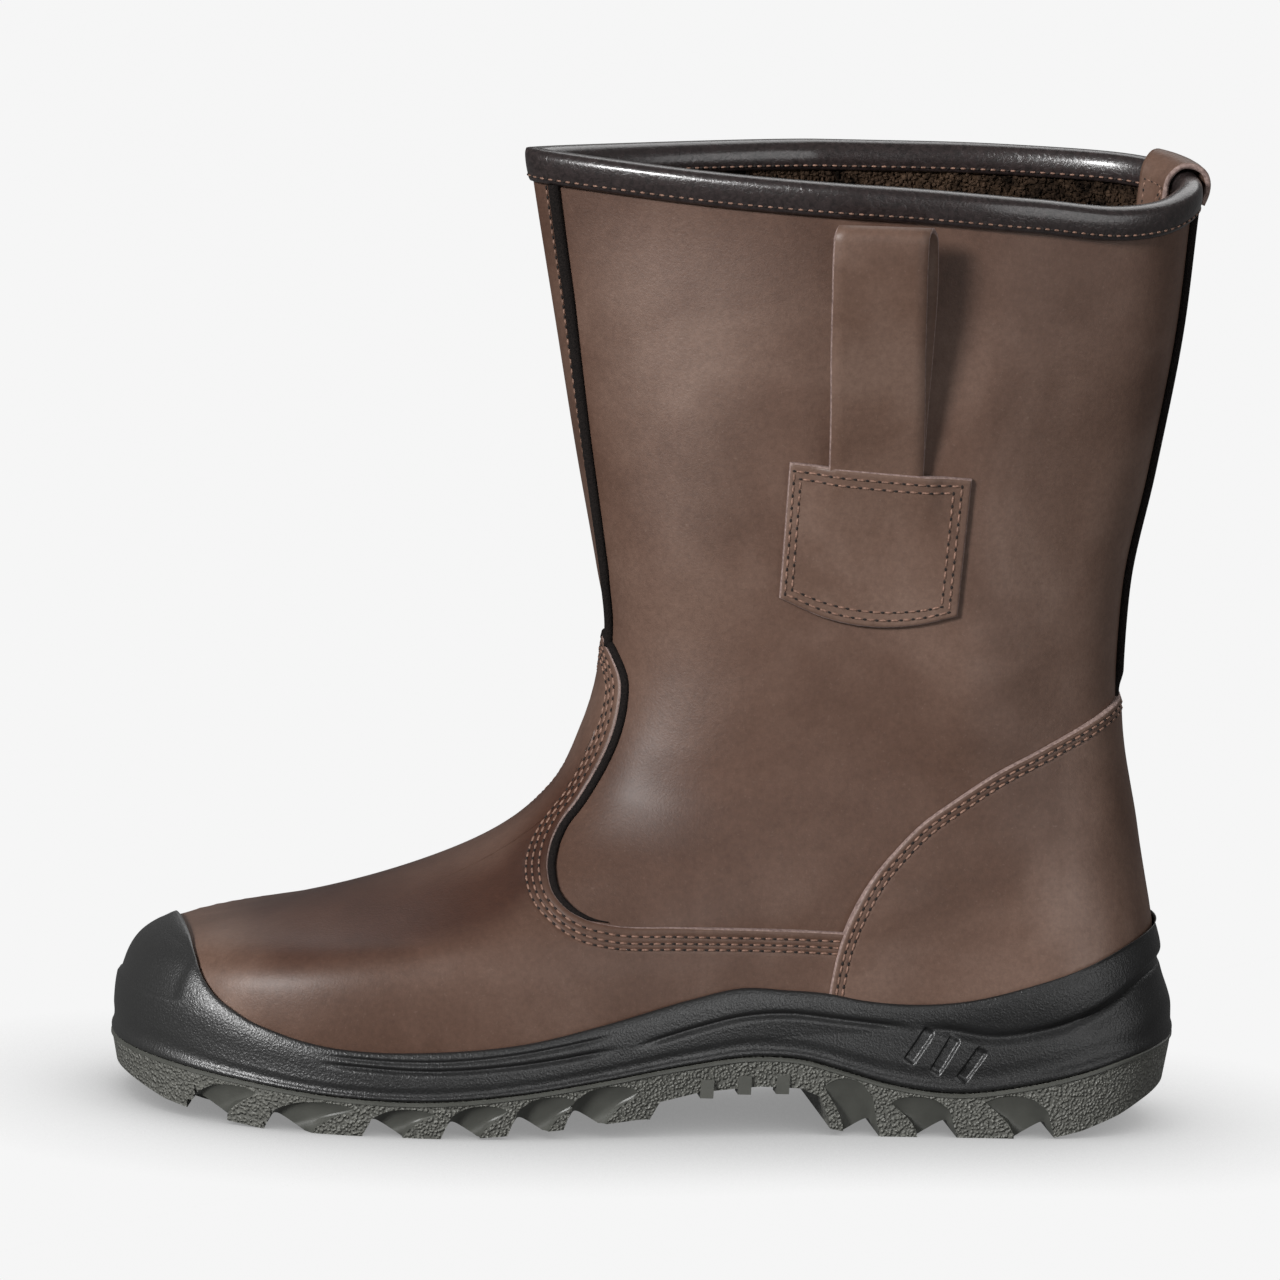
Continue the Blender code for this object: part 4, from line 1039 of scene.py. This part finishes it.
def add_pipings(velvet):
    """The cords in the shaft's front and back seams."""
    level = np.linspace(FRONT_SEAM[0][0], PIPING_TOP, PIPING_ROWS)
    front = tube(straight(FRONT_SEAM, level), level, PIPING_LIFT, straight(FRONT_CORD, level))
    dress(add_piece("front_seam_cord", *front, (velvet,)), "trim_leather", "front_piping")
    level = np.linspace(BACK_SEAM_START, PIPING_TOP, PIPING_ROWS)
    covered, free = (BACK_SEAM_START + rise for rise in COUNTER_COVERS)
    lift = PIPING_LIFT - COUNTER_DIP * (1 - ease(level, covered, free))
    back = tube(np.full(PIPING_ROWS, BACK_SEAM_TURN), level, lift, PIPING_RADIUS)
    dress(add_piece("back_seam_cord", *back, (velvet,)), "trim_leather", "back_piping")


def add_vamp_cord(velvet):
    """The cord beside the vamp's edge, thinning out along the low band."""
    turn, level = vamp_edge()
    x = skin(turn, level)[:, 0]
    turn, level = inset_line(turn, level, -VAMP_CORD_OUT)
    full = np.where(level < LOW_BAND, ease(x, *CORD_THINS), 1.0)
    keep = (full > CORD_GONE) & (x < CORD_REAR)
    first, last = np.flatnonzero(keep)[[0, -1]]
    radius = VAMP_CORD_RADIUS * np.maximum(full, CORD_THINNEST)
    span = slice(first, last + 1)
    cord = tube(turn[span], level[span], VAMP_CORD_LIFT, radius[span])
    dress(add_piece("vamp_seam_cord", *cord, (velvet,)), "trim_leather")


# Stitches and pile, placed by geometry nodes

def new_tree(name, sizes):
    """A geometry nodes tree with these named size inputs and a finish."""
    tree = bpy.data.node_groups.new(name, "GeometryNodeTree")
    tree.interface.new_socket("Geometry", in_out="INPUT", socket_type="NodeSocketGeometry")
    tree.interface.new_socket("Geometry", in_out="OUTPUT", socket_type="NodeSocketGeometry")
    for size in sizes:
        tree.interface.new_socket(size, in_out="INPUT", socket_type="NodeSocketFloat")
    tree.interface.new_socket("Finish", in_out="INPUT", socket_type="NodeSocketMaterial")
    return tree, tree.nodes.new("NodeGroupInput"), tree.nodes.new("NodeGroupOutput")


def end_tree(tree, instances, given, out):
    """Realizes the instances and gives them their finish."""
    realize = tree.nodes.new("GeometryNodeRealizeInstances")
    shade = tree.nodes.new("GeometryNodeSetShadeSmooth")
    paint = tree.nodes.new("GeometryNodeSetMaterial")
    tree.links.new(instances, realize.inputs[0])
    tree.links.new(realize.outputs[0], shade.inputs[0])
    tree.links.new(shade.outputs[0], paint.inputs[0])
    tree.links.new(given.outputs["Finish"], paint.inputs["Material"])
    tree.links.new(paint.outputs[0], out.inputs[0])


def named_vector(tree, name):
    node = tree.nodes.new("GeometryNodeInputNamedAttribute")
    node.data_type = "FLOAT_VECTOR"
    node.inputs["Name"].default_value = name
    return node.outputs["Attribute"]


def aligned(tree, vector, axis, rotation=None, pivot="AUTO"):
    node = tree.nodes.new("FunctionNodeAlignRotationToVector")
    node.axis = axis
    node.pivot_axis = pivot
    tree.links.new(vector, node.inputs["Vector"])
    if rotation is not None:
        tree.links.new(rotation, node.inputs["Rotation"])
    return node.outputs["Rotation"]


def stitch_tree():
    """A rounded stitch at each point, lying along the seam."""
    tree, given, out = new_tree("stitch", ("Length", "Thickness"))
    blob = tree.nodes.new("GeometryNodeMeshUVSphere")
    blob.inputs["Segments"].default_value = 8
    blob.inputs["Rings"].default_value = 5
    blob.inputs["Radius"].default_value = 0.5
    size = tree.nodes.new("ShaderNodeCombineXYZ")
    tree.links.new(given.outputs["Length"], size.inputs["X"])
    tree.links.new(given.outputs["Thickness"], size.inputs["Y"])
    tree.links.new(given.outputs["Thickness"], size.inputs["Z"])
    along = aligned(tree, named_vector(tree, "along"), "X")
    upright = aligned(tree, named_vector(tree, "up"), "Z", along, "X")
    place = tree.nodes.new("GeometryNodeInstanceOnPoints")
    tree.links.new(given.outputs["Geometry"], place.inputs["Points"])
    tree.links.new(blob.outputs["Mesh"], place.inputs["Instance"])
    tree.links.new(upright, place.inputs["Rotation"])
    tree.links.new(size.outputs["Vector"], place.inputs["Scale"])
    end_tree(tree, place.outputs["Instances"], given, out)
    return tree


def pile_tree():
    """Curls of pile strewn over a surface."""
    tree, given, out = new_tree("pile_curls", ("Density", "Smallest", "Largest"))
    strew = tree.nodes.new("GeometryNodeDistributePointsOnFaces")
    strew.inputs["Seed"].default_value = 7
    tree.links.new(given.outputs["Geometry"], strew.inputs["Mesh"])
    tree.links.new(given.outputs["Density"], strew.inputs["Density"])
    curl = tree.nodes.new("GeometryNodeMeshIcoSphere")
    curl.inputs["Radius"].default_value = 1.0
    curl.inputs["Subdivisions"].default_value = 1
    size = tree.nodes.new("FunctionNodeRandomValue")
    size.data_type = "FLOAT_VECTOR"
    size.inputs["Seed"].default_value = 11
    tree.links.new(given.outputs["Smallest"], size.inputs[0])
    tree.links.new(given.outputs["Largest"], size.inputs[1])
    place = tree.nodes.new("GeometryNodeInstanceOnPoints")
    tree.links.new(strew.outputs["Points"], place.inputs["Points"])
    tree.links.new(curl.outputs["Mesh"], place.inputs["Instance"])
    tree.links.new(strew.outputs["Rotation"], place.inputs["Rotation"])
    tree.links.new(size.outputs[0], place.inputs["Scale"])
    end_tree(tree, place.outputs["Instances"], given, out)
    return tree


def grow(source, tree, values, name):
    """The plain mesh that a tree makes from a source object, which is then removed."""
    modifier = source.modifiers.new("grow", "NODES")
    modifier.node_group = tree
    for item in tree.interface.items_tree:
        if item.in_out == "INPUT" and item.name in values:
            modifier[item.identifier] = values[item.name]
    source.update_tag()
    depsgraph = bpy.context.evaluated_depsgraph_get()
    mesh = bpy.data.meshes.new_from_object(source.evaluated_get(depsgraph))
    mesh.name = name
    bpy.data.objects.remove(source)
    obj = bpy.data.objects.new(name, mesh)
    bpy.context.scene.collection.objects.link(obj)
    return obj


class Seams:
    """Points of stitches and of the needle holes between them, gathered seam by seam."""

    def __init__(self):
        self.stitches = []
        self.holes = []

    def sew(self, path, up, pitch):
        """Stitches along a line of points with the surface's normals."""
        run = np.concatenate([[0], np.cumsum(np.linalg.norm(np.diff(path, axis=0), axis=1))])
        along = unit(np.gradient(path, axis=0))
        count = max(int(run[-1] / pitch), 2)
        for store, shift in ((self.stitches, 0.5), (self.holes, 1.0)):
            at = (np.arange(count) + shift) * run[-1] / count
            columns = [[np.interp(at, run, values[:, k]) for k in range(3)] for values in (path, along, up)]
            store.append(np.stack([np.array(column).T for column in columns], axis=1))

    def sew_on(self, turn, level, lift, pitch):
        """Stitches along a line on the upper."""
        self.sew(form(turn, level, lift), outward(turn, level), pitch)

    def points_object(self, rows, name):
        rows = np.concatenate(rows)
        mesh = bpy.data.meshes.new(name)
        mesh.from_pydata((rows[:, 0] * METRES).tolist(), [], [])
        for number, attribute in ((1, "along"), (2, "up")):
            layer = mesh.attributes.new(attribute, "FLOAT_VECTOR", "POINT")
            layer.data.foreach_set("vector", rows[:, number].astype(np.float32).reshape(-1))
        obj = bpy.data.objects.new(name, mesh)
        bpy.context.scene.collection.objects.link(obj)
        return obj

    def make(self, name, tree, thread, thread_size, hole, slot):
        """The stitches and the needle holes, each as one piece."""
        kinds = (
            (name + "_stitches", self.stitches, thread, thread_size),
            (name + "_needle_holes", self.holes, hole, NEEDLE_HOLE),
        )
        for piece_name, rows, finish, size in kinds:
            values = {"Length": size[0] * METRES, "Thickness": size[1] * METRES, "Finish": finish}
            points = self.points_object(rows, piece_name + "_points")
            dress(grow(points, tree, values, piece_name), slot)


def sew_panel(seams, pitch, edge, distances, end, lap):
    """Rows inside a panel's edge, as far as the sole's rim and up to an end along x."""
    for distance in distances:
        turn, level = inset_line(*edge, distance)
        lift = PANEL_TOP - SEAM_DENT + THREAD_OVER_DENT + lap(turn, level)
        x, _, z = form(turn, level, 0.0).T
        shown = (z > read(TOP_EDGE, x) - SEAM_UNDER_RIM) & (x < end)
        first, last = np.flatnonzero(shown)[[0, -1]]
        span = slice(first, last + 1)
        seams.sew_on(turn[span], level[span], lift[span], pitch)


# Distances of a patch's two seam loops from its front, rear, top and foot
PATCH_SEAMS = ((1.5, 2.9, 2.4, 2.2), (3.4, 5.2, 4.6, 4.4))


def sew_patch(seams, side, pitch):
    for front, rear, top, foot in PATCH_SEAMS:
        left, right = front / PATCH_WIDE, 1 - rear / PATCH_WIDE
        head, base = top / PATCH_TALL, 1 - foot / PATCH_TALL
        corners = ((left, head), (left, base), (right, base), (right, head), (left, head))
        for start, end in zip(corners, corners[1:]):
            across, down = (np.linspace(start[k], end[k], PATCH_SEAM_POINTS) for k in (0, 1))
            turn, level = patch_place(across, down, side)
            lift = PANEL_TOP + patch_swell(across, down)
            seams.sew_on(turn, level, lift, pitch)


def sew_binding(seams, pitch):
    """A row near the binding's lower edge outside, and one under its inside edge."""
    turns = np.linspace(0, 2 * pi, BINDING_SEAM_POINTS)
    for lift, height, facing in BINDING_SEAMS:
        path = form(turns, height, binding_lift(turns, lift))
        path[:, 2] = height - collar_drop(turns)
        seams.sew(path, facing * outward(turns, height), pitch)


def sew_tab(seams, pitch):
    """A stitched box with a diagonal on the tab's inner end."""
    left, right = TAB_TURN - TAB_SEAM_EDGE, TAB_TURN + TAB_SEAM_EDGE
    corners = (
        (left, TAB_SEAM_HEAD), (right, TAB_SEAM_HEAD), (right, TAB_SEAM_FOOT), (left, TAB_SEAM_FOOT),
        (left, TAB_SEAM_HEAD), (right, TAB_SEAM_FOOT),
    )
    inner_leg = [(height, lift) for lift, height in TAB_PATH[:3]]
    for start, end in zip(corners, corners[1:]):
        turn, height = (np.linspace(start[k], end[k], TAB_SEAM_POINTS) for k in (0, 1))
        path = form(turn, height, straight(inner_leg, height) - TAB_THICK / 2)
        path[:, 2] = height - collar_drop(turn)
        seams.sew(path, -outward(turn, height), pitch)


def sew_front_seam(seams, pitch):
    level = np.linspace(*FRONT_ROW_LEVELS)
    for beside in FRONT_ROWS:
        seams.sew_on(straight(FRONT_SEAM, level) - beside, level, FRONT_ROW_LIFT, pitch)


def add_stitches(thread, hole):
    tree = stitch_tree()
    leather_seams = Seams()
    sew_panel(leather_seams, SEAM_THREAD[2], vamp_edge(), VAMP_SEAMS, VAMP_SEAM_END, no_lap)
    sew_panel(leather_seams, SEAM_THREAD[2], counter_edge(), COUNTER_SEAMS, HEEL_END, counter_lap)
    for side in (LATERAL, MEDIAL):
        sew_patch(leather_seams, side, SEAM_THREAD[2])
    leather_seams.make("leather", tree, thread, SEAM_THREAD, hole, "upper_leather")
    trim_seams = Seams()
    sew_binding(trim_seams, TRIM_THREAD[2])
    sew_front_seam(trim_seams, TRIM_THREAD[2])
    sew_tab(trim_seams, TRIM_THREAD[2])
    trim_seams.make("trim", tree, thread, TRIM_THREAD, hole, "trim_leather")


def add_pile(curls):
    """Curly pile inside the shaft, below the binding."""
    turns = np.linspace(0, 2 * pi, PILE_COLUMNS, endpoint=False)
    levels = np.linspace(*PILE_LEVELS, PILE_ROWS)
    points = form(turns[None, :], levels[:, None], -WALL - PILE_SINK)
    faces = grid_faces(PILE_ROWS, PILE_COLUMNS, wrap_columns=True)
    ground = add_piece("pile_ground", points, faces, (curls,))
    values = {
        "Density": PILE_DENSITY / METRES**2, "Smallest": CURL_SMALLEST * METRES,
        "Largest": CURL_LARGEST * METRES, "Finish": curls,
    }
    dress(grow(ground, pile_tree(), values, "pile_lining"), "upper_leather")


# Sole

def level_where(turns, wanted):
    """The level on each turn at which the surface reaches the height wanted(x)."""
    low, high = np.full(len(turns), LEVELS[0]), np.full(len(turns), LEVELS[8])
    for _ in range(HALVINGS):
        middle = (low + high) / 2
        point = skin(turns, middle)
        above = point[:, 2] > wanted(point[:, 0])
        high = np.where(above, middle, high)
        low = np.where(above, low, middle)
    return (low + high) / 2


def wall_ring(turns, height, lift):
    """A loop around the sole, out from the upper's surface, at each point's own height.

    Below the feather line the wall goes straight down from it.
    """
    feather = skin(turns, LEVELS[0])[:, 2]
    level = level_where(turns, lambda x: height)
    normal = outward(turns, level)
    normal[:, 2] *= ease(height, feather, feather + FEATHER_BLEND)
    lift = np.broadcast_to(np.asarray(lift, float), turns.shape)[:, None]
    ring = skin(turns, level) + lift * unit(normal)
    ring[:, 2] = np.where(height < feather, height, ring[:, 2])
    return ring


def groove_depth(x, z, line, half_wide, depth):
    """How deep a groove is at points of the sole's side."""
    first, last = line[0][0], line[-1][0]
    at_end = ease(x, last - GROOVE_FADE, last) * (last < GROOVES_MEET)
    fade = ease(x, first, first + GROOVE_FADE) * (1 - at_end)
    return depth * fade * np.exp(-(((z - read(line, x)) / half_wide) ** 2))


def bar_depth(x, z):
    """Depth of the slanted recesses in the heel's side."""
    depth = np.zeros(x.shape)
    for x0, z0, x1, z1 in BARS:
        length = np.hypot(x1 - x0, z1 - z0)
        ux, uz = (x1 - x0) / length, (z1 - z0) / length
        along = (x - x0) * ux + (z - z0) * uz
        across = np.abs((z - z0) * ux - (x - x0) * uz)
        within = ease(along, -BAR_END, 0.0) * (1 - ease(along, length, length + BAR_END))
        inside = 1 - ease(across, BAR_HALF_WIDE - BAR_SLOPE_IN, BAR_HALF_WIDE + BAR_SLOPE_OUT)
        depth += BAR_DEEP * within * inside
    return depth


def sole_relief(turns, points):
    """How far the midsole's side stands out or in at its points."""
    x, z = points[:, 0], points[:, 2]
    rise = np.zeros(len(x))
    for line, half_wide, depth in GROOVES:
        rise -= groove_depth(x, z, line, half_wide, depth)
    over_groove = z - read(HEEL_GROOVE, x)
    at_heel = ease(x, *BANDS_SET_IN)
    rise -= LOWER_BAND_IN * at_heel * ease(over_groove, *LOWER_BAND)
    rise += UPPER_BAND_OUT * at_heel * ease(over_groove, *UPPER_BAND)
    rise -= bar_depth(x, z)
    from_front = np.abs(np.where(turns > pi, turns - 2 * pi, turns))
    toe = 1 - ease(from_front, TOE_RECESS_TURN, TOE_RECESS_TURN + TOE_RECESS_SIDE)
    over_foot = ease(z, TOE_RECESS_FOOT, TOE_RECESS_FOOT + TOE_RECESS_RISE)
    under_head = 1 - ease(z, TOE_RECESS_HEAD, TOE_RECESS_HEAD + TOE_RECESS_FALL)
    return rise - TOE_RECESS_DEEP * toe * over_foot * under_head


def sole_turns():
    """Turns around the sole, closer together where the slanted recesses are."""
    even = np.linspace(0, 2 * pi, 4000)
    x = skin(even, LEVELS[0])[:, 0]
    steps = np.linalg.norm(np.diff(skin(even, LEVELS[0])[:, :2], axis=0), axis=1)
    crowd = 1 + BAR_CROWD * (ease(x, *CROWD_RISES) - ease(x, *CROWD_FALLS))
    run = np.concatenate([[0], np.cumsum(steps * (crowd[1:] + crowd[:-1]) / 2)])
    return np.interp(np.linspace(0, run[-1], SOLE_AROUND, endpoint=False), run, even)


def add_midsole(finish):
    """The moulded cup: side wall with its bands and grooves, rim, and the floor under the upper."""
    turns = sole_turns()
    feather = skin(turns, LEVELS[0])
    top = skin(turns, level_where(turns, lambda x: read(TOP_EDGE, x)))[:, 2]
    bottom = read(PARTING, feather[:, 0])
    profile = smooth_line([(share * WALL_TALL, lift) for share, lift in MIDSOLE_WALL], WALL_STEP)
    rings = []
    for up, lift in profile:
        height = bottom + up / WALL_TALL * (top - bottom)
        ring = wall_ring(turns, height, lift)
        if up > RELIEF_FROM_UP and lift > RELIEF_FROM_OUT:
            relief = sole_relief(turns, ring) * ease(lift, *RELIEF_FADE)
            ring = wall_ring(turns, height, lift + relief)
        rings.append(ring)
    rings[0][:, 2] = read(PARTING, rings[0][:, 0])
    rings.append(wall_ring(turns, feather[:, 2] - CUP_FLOOR_DROP, CUP_FLOOR_OUT))
    faces = [list(face) for face in grid_faces(len(rings), SOLE_AROUND, wrap_columns=True)]
    faces += cap_faces(0, SOLE_AROUND, False)
    faces += cap_faces((len(rings) - 1) * SOLE_AROUND, SOLE_AROUND, True)
    dress(add_piece("midsole_cup", np.concatenate(rings), faces, (finish,)), "midsole_rubber", "midsole")


def cap_faces(first, count, facing_up):
    """Faces that close a loop with strips from the lateral side to the medial."""
    faces = []
    for i in range(count // 2):
        corners = (i, i + 1, (count - i - 1) % count, (count - i) % count)
        face = [first + corner for corner in dict.fromkeys(corners)]
        faces.append(face if facing_up else face[::-1])
    return faces


def sole_side(x, side):
    """y of the outsole's wall at x on one side."""
    turns = np.linspace(0, pi, 300) * (1 if side == LATERAL else -1)
    ring = wall_ring(turns, np.full(300, PLAN_HEIGHT), OUTSOLE_OUT)
    return np.interp(x, ring[:, 0], ring[:, 1])


def scoop_cutter(x, reach, side):
    """Points of one notch with the smooth scoop beside it, from outside the wall to the notch's inner end."""
    base = straight(TREAD, x)
    crown = read(PARTING, x + 0.6 * reach) - SCOOP_UNDER_PARTING - base
    share, shift, rise, notch_x, notch_rise = smooth_line(SCOOP, 0.5).T
    way = np.sign(reach)
    scoop = np.stack([x + reach * share + way * shift, base + crown * rise], axis=-1)
    notch = np.stack([x + way * notch_x, base + NOTCH_TALL * notch_rise], axis=-1)
    loops = []
    for out, blend in SCOOP_DEPTHS:
        outline = scoop + blend * (notch - scoop)
        y = sole_side(outline[:, 0], side) + side * out
        loops.append(np.stack([outline[:, 0], y, outline[:, 1]], axis=-1))
    return np.array(loops)


def add_cutter(name, solids, finish):
    """One mesh of closed lofts, each an array of loops."""
    points, faces, first = [], [], 0
    for loops in solids:
        rows, count = loops.shape[:2]
        points.append(loops.reshape(-1, 3))
        faces += [[first + i for i in face] for face in grid_faces(rows, count, wrap_columns=True)]
        faces.append([first + i for i in reversed(range(count))])
        faces.append([first + (rows - 1) * count + i for i in range(count)])
        first += rows * count
    cutter = add_piece(name, np.concatenate(points), faces, (finish,))
    face_outward(cutter)
    return cutter


def face_outward(obj):
    work = bmesh.new()
    work.from_mesh(obj.data)
    bmesh.ops.recalc_face_normals(work, faces=work.faces)
    work.to_mesh(obj.data)
    work.free()


def block(x0, x1, y0, y1, z0, z1):
    """Loops of an upright block."""
    return np.array([[(x0, y0, z), (x1, y0, z), (x1, y1, z), (x0, y1, z)] for z in (z0, z1)])


def prism(outline, y0, y1):
    return np.array([[(x, y, z) for x, z in outline] for y in (y0, y1)])


def rib_blocks():
    blocks = []
    for x in RIBS_AT:
        for side in (LATERAL, MEDIAL):
            outer = sole_side(x, side) + side * (RIB_PROUD - RIB_SINK)
            y0, y1 = sorted((outer, outer - side * RIB_DEEP))
            low = straight(ARCH, x) - RIB_HANG
            blocks.append(block(x - RIB_WIDE / 2, x + RIB_WIDE / 2, y0, y1, low, low + RIB_TALL))
    return blocks


def outsole_block(pebbled, smooth):
    """The uncut sole, from the tread over its shoulder and smooth lip to the top."""
    turns = np.linspace(0, 2 * pi, OUTSOLE_AROUND, endpoint=False)
    flat = np.full(OUTSOLE_AROUND, PLAN_HEIGHT)
    top = wall_ring(turns, flat, OUTSOLE_OUT)
    top[:, 2] = read(PARTING, top[:, 0]) - PARTING_GAP
    tread = wall_ring(turns, flat, OUTSOLE_OUT - TREAD_INSET)
    tread[:, 2] = straight(TREAD, tread[:, 0])
    shoulder = tread + SHOULDER_UP * (top - tread)
    shoulder[:, :2] = tread[:, :2] + SHOULDER_OUT * (top[:, :2] - tread[:, :2])
    below = tread + UNDER_SHOULDER * (shoulder - tread)
    under_lip = top.copy()
    under_lip[:, 2] = top[:, 2] - SOLE_LIP_TALL
    lip = wall_ring(turns, flat, OUTSOLE_OUT + SOLE_LIP)
    lip_top = lip.copy()
    lip[:, 2] = top[:, 2] - LIP_FOOT * SOLE_LIP_TALL
    lip_top[:, 2] = top[:, 2] - LIP_HEAD * SOLE_LIP_TALL
    rings = np.stack([tread, below, shoulder, under_lip, lip, lip_top, top])
    rows = len(rings)
    faces = [list(face) for face in grid_faces(rows, OUTSOLE_AROUND, wrap_columns=True)]
    caps = cap_faces(0, OUTSOLE_AROUND, False)
    caps += cap_faces((rows - 1) * OUTSOLE_AROUND, OUTSOLE_AROUND, True)
    sides = np.repeat(np.where(np.arange(rows - 1) < PEBBLED_BANDS, 0, 1), OUTSOLE_AROUND)
    finish = np.concatenate([sides, np.zeros(len(caps))])
    return add_piece("outsole_tread", rings, faces + caps, (pebbled, smooth), finish)


def cut(obj, steps):
    """Cuts solids out of an object or joins them to it, step by step, each with its own finish."""
    cutters = []
    for name, solids, operation, finish in steps:
        cutter = add_cutter(name, solids, finish)
        boolean = obj.modifiers.new(name, "BOOLEAN")
        boolean.operation = operation
        boolean.solver = "EXACT"
        boolean.use_self = True
        boolean.material_mode = "TRANSFER"
        boolean.object = cutter
        cutters.append(cutter)
    depsgraph = bpy.context.evaluated_depsgraph_get()
    mesh = bpy.data.meshes.new_from_object(obj.evaluated_get(depsgraph))
    obj.modifiers.clear()
    obj.data = mesh
    for cutter in cutters:
        bpy.data.objects.remove(cutter)


def add_outsole(pebbled, smooth):
    """The lugged tread: the sole cut by the arch, the notches and the centre grooves, with its waist ribs."""
    outsole = outsole_block(pebbled, smooth)
    scoops = [scoop_cutter(x, reach, side) for x, reach in NOTCHES for side in (LATERAL, MEDIAL)]
    grooves = [block(x0, x1, y0, y1, GROOVE_BASE, roof) for x0, x1, y0, y1, roof in TREAD_GROOVES]
    steps = (
        ("arch", [prism(ARCH, -ARCH_HALF_LONG, ARCH_HALF_LONG)], "DIFFERENCE", pebbled),
        ("notches", scoops, "DIFFERENCE", smooth),
        ("centre_grooves", grooves, "DIFFERENCE", smooth),
        ("waist_ribs", rib_blocks(), "UNION", smooth),
    )
    cut(outsole, steps)
    outsole.data.set_sharp_from_angle(angle=radians(SHARP_FROM))
    dress(outsole, "outsole_rubber", "outsole")


# Studio

FLOOR_HALF = 20000.0


def add_floor(finish):
    sides = ((-1, -1), (1, -1), (1, 1), (-1, 1))
    corners = [(x * FLOOR_HALF, y * FLOOR_HALF, 0) for x, y in sides]
    floor = add_piece("floor", corners, [(0, 1, 2, 3)], (finish,))
    floor.visible_diffuse = False  # its glow doesn't light the boot from below
    floor.visible_glossy = False


# Lights far off: name, direction towards the light, its width in degrees, strength
LIGHTS = (
    ("key", (-0.68, -0.66, 0.4), 14.0, 4.2),
    ("fill", (0.6, -0.75, 0.15), 40.0, 0.9),
    ("top", (0.35, 0.6, 0.72), 50.0, 1.05),
)
WORLD_STRENGTH = 0.13


def add_lights():
    for name, towards, width, strength in LIGHTS:
        data = bpy.data.lights.new(name, "SUN")
        data.angle = radians(width)
        data.energy = strength
        light = bpy.data.objects.new(name, data)
        light.rotation_euler = Vector(towards).to_track_quat("Z", "Y").to_euler()
        bpy.context.scene.collection.objects.link(light)
    world = bpy.data.worlds.new("studio")
    world.use_nodes = True
    backdrop = world.node_tree.nodes["Background"]
    backdrop.inputs["Color"].default_value = (1.0, 1.0, 1.0, 1.0)
    backdrop.inputs["Strength"].default_value = WORLD_STRENGTH
    bpy.context.scene.world = world
    bpy.context.scene.view_settings.view_transform = "Standard"


def add_camera():
    turn, rise, roll = radians(VIEW_TURN), radians(VIEW_RISE), radians(VIEW_ROLL)
    back = np.array((sin(turn) * cos(rise), -cos(turn) * cos(rise), sin(rise)))
    side = np.array((cos(turn), sin(turn), 0.0))
    up = np.cross(side, -back)
    across = cos(roll) * side + sin(roll) * up
    upright = cos(roll) * up - sin(roll) * side
    place = (np.array(VIEW_AIM) + back * VIEW_FAR) * METRES
    data = bpy.data.cameras.new("camera")
    data.lens = VIEW_LENS
    data.sensor_width = SENSOR
    data.clip_end = 100.0
    camera = bpy.data.objects.new("camera", data)
    rows = [(*row, at) for row, at in zip(np.stack([across, upright, back], 1), place)]
    camera.matrix_world = Matrix([*rows, (0, 0, 0, 1)])
    bpy.context.scene.collection.objects.link(camera)
    bpy.context.scene.camera = camera


def main():
    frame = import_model()
    leather = leather_finish("oiled_leather", LEATHER_DARK, LEATHER_MIDDLE, LEATHER_LIGHT)
    raw = raw_edge_finish()
    lining = pile_finish("pile_ground", (0.008, 0.005, 0.0035), (0.06, 0.037, 0.023))
    curls = pile_finish("pile_curls", (0.005, 0.0034, 0.0024), (0.075, 0.047, 0.031))
    velvet = velvet_finish()
    add_upper(leather, lining)
    add_vamp(leather, raw)
    add_counter(leather, raw)
    for side, name in ((LATERAL, "lateral"), (MEDIAL, "medial")):
        add_patch("sewn_patch_" + name, side, leather, raw, "strap_patch_" + name)
        add_strap("folded_strap_" + name, side, leather, raw, "pull_strap_" + name)
    add_tab(leather, raw)
    add_binding(binding_finish())
    add_pipings(velvet)
    add_vamp_cord(velvet)
    add_stitches(thread_finish(), needle_hole_finish())
    add_pile(curls)
    add_midsole(midsole_finish())
    add_outsole(pebbled_rubber_finish(), smooth_rubber_finish())
    insole = frame["nodes"]["insole"]
    insole.data.materials.clear()
    insole.data.materials.append(felt_finish())
    add_floor(floor_finish())
    add_lights()
    add_camera()


main()
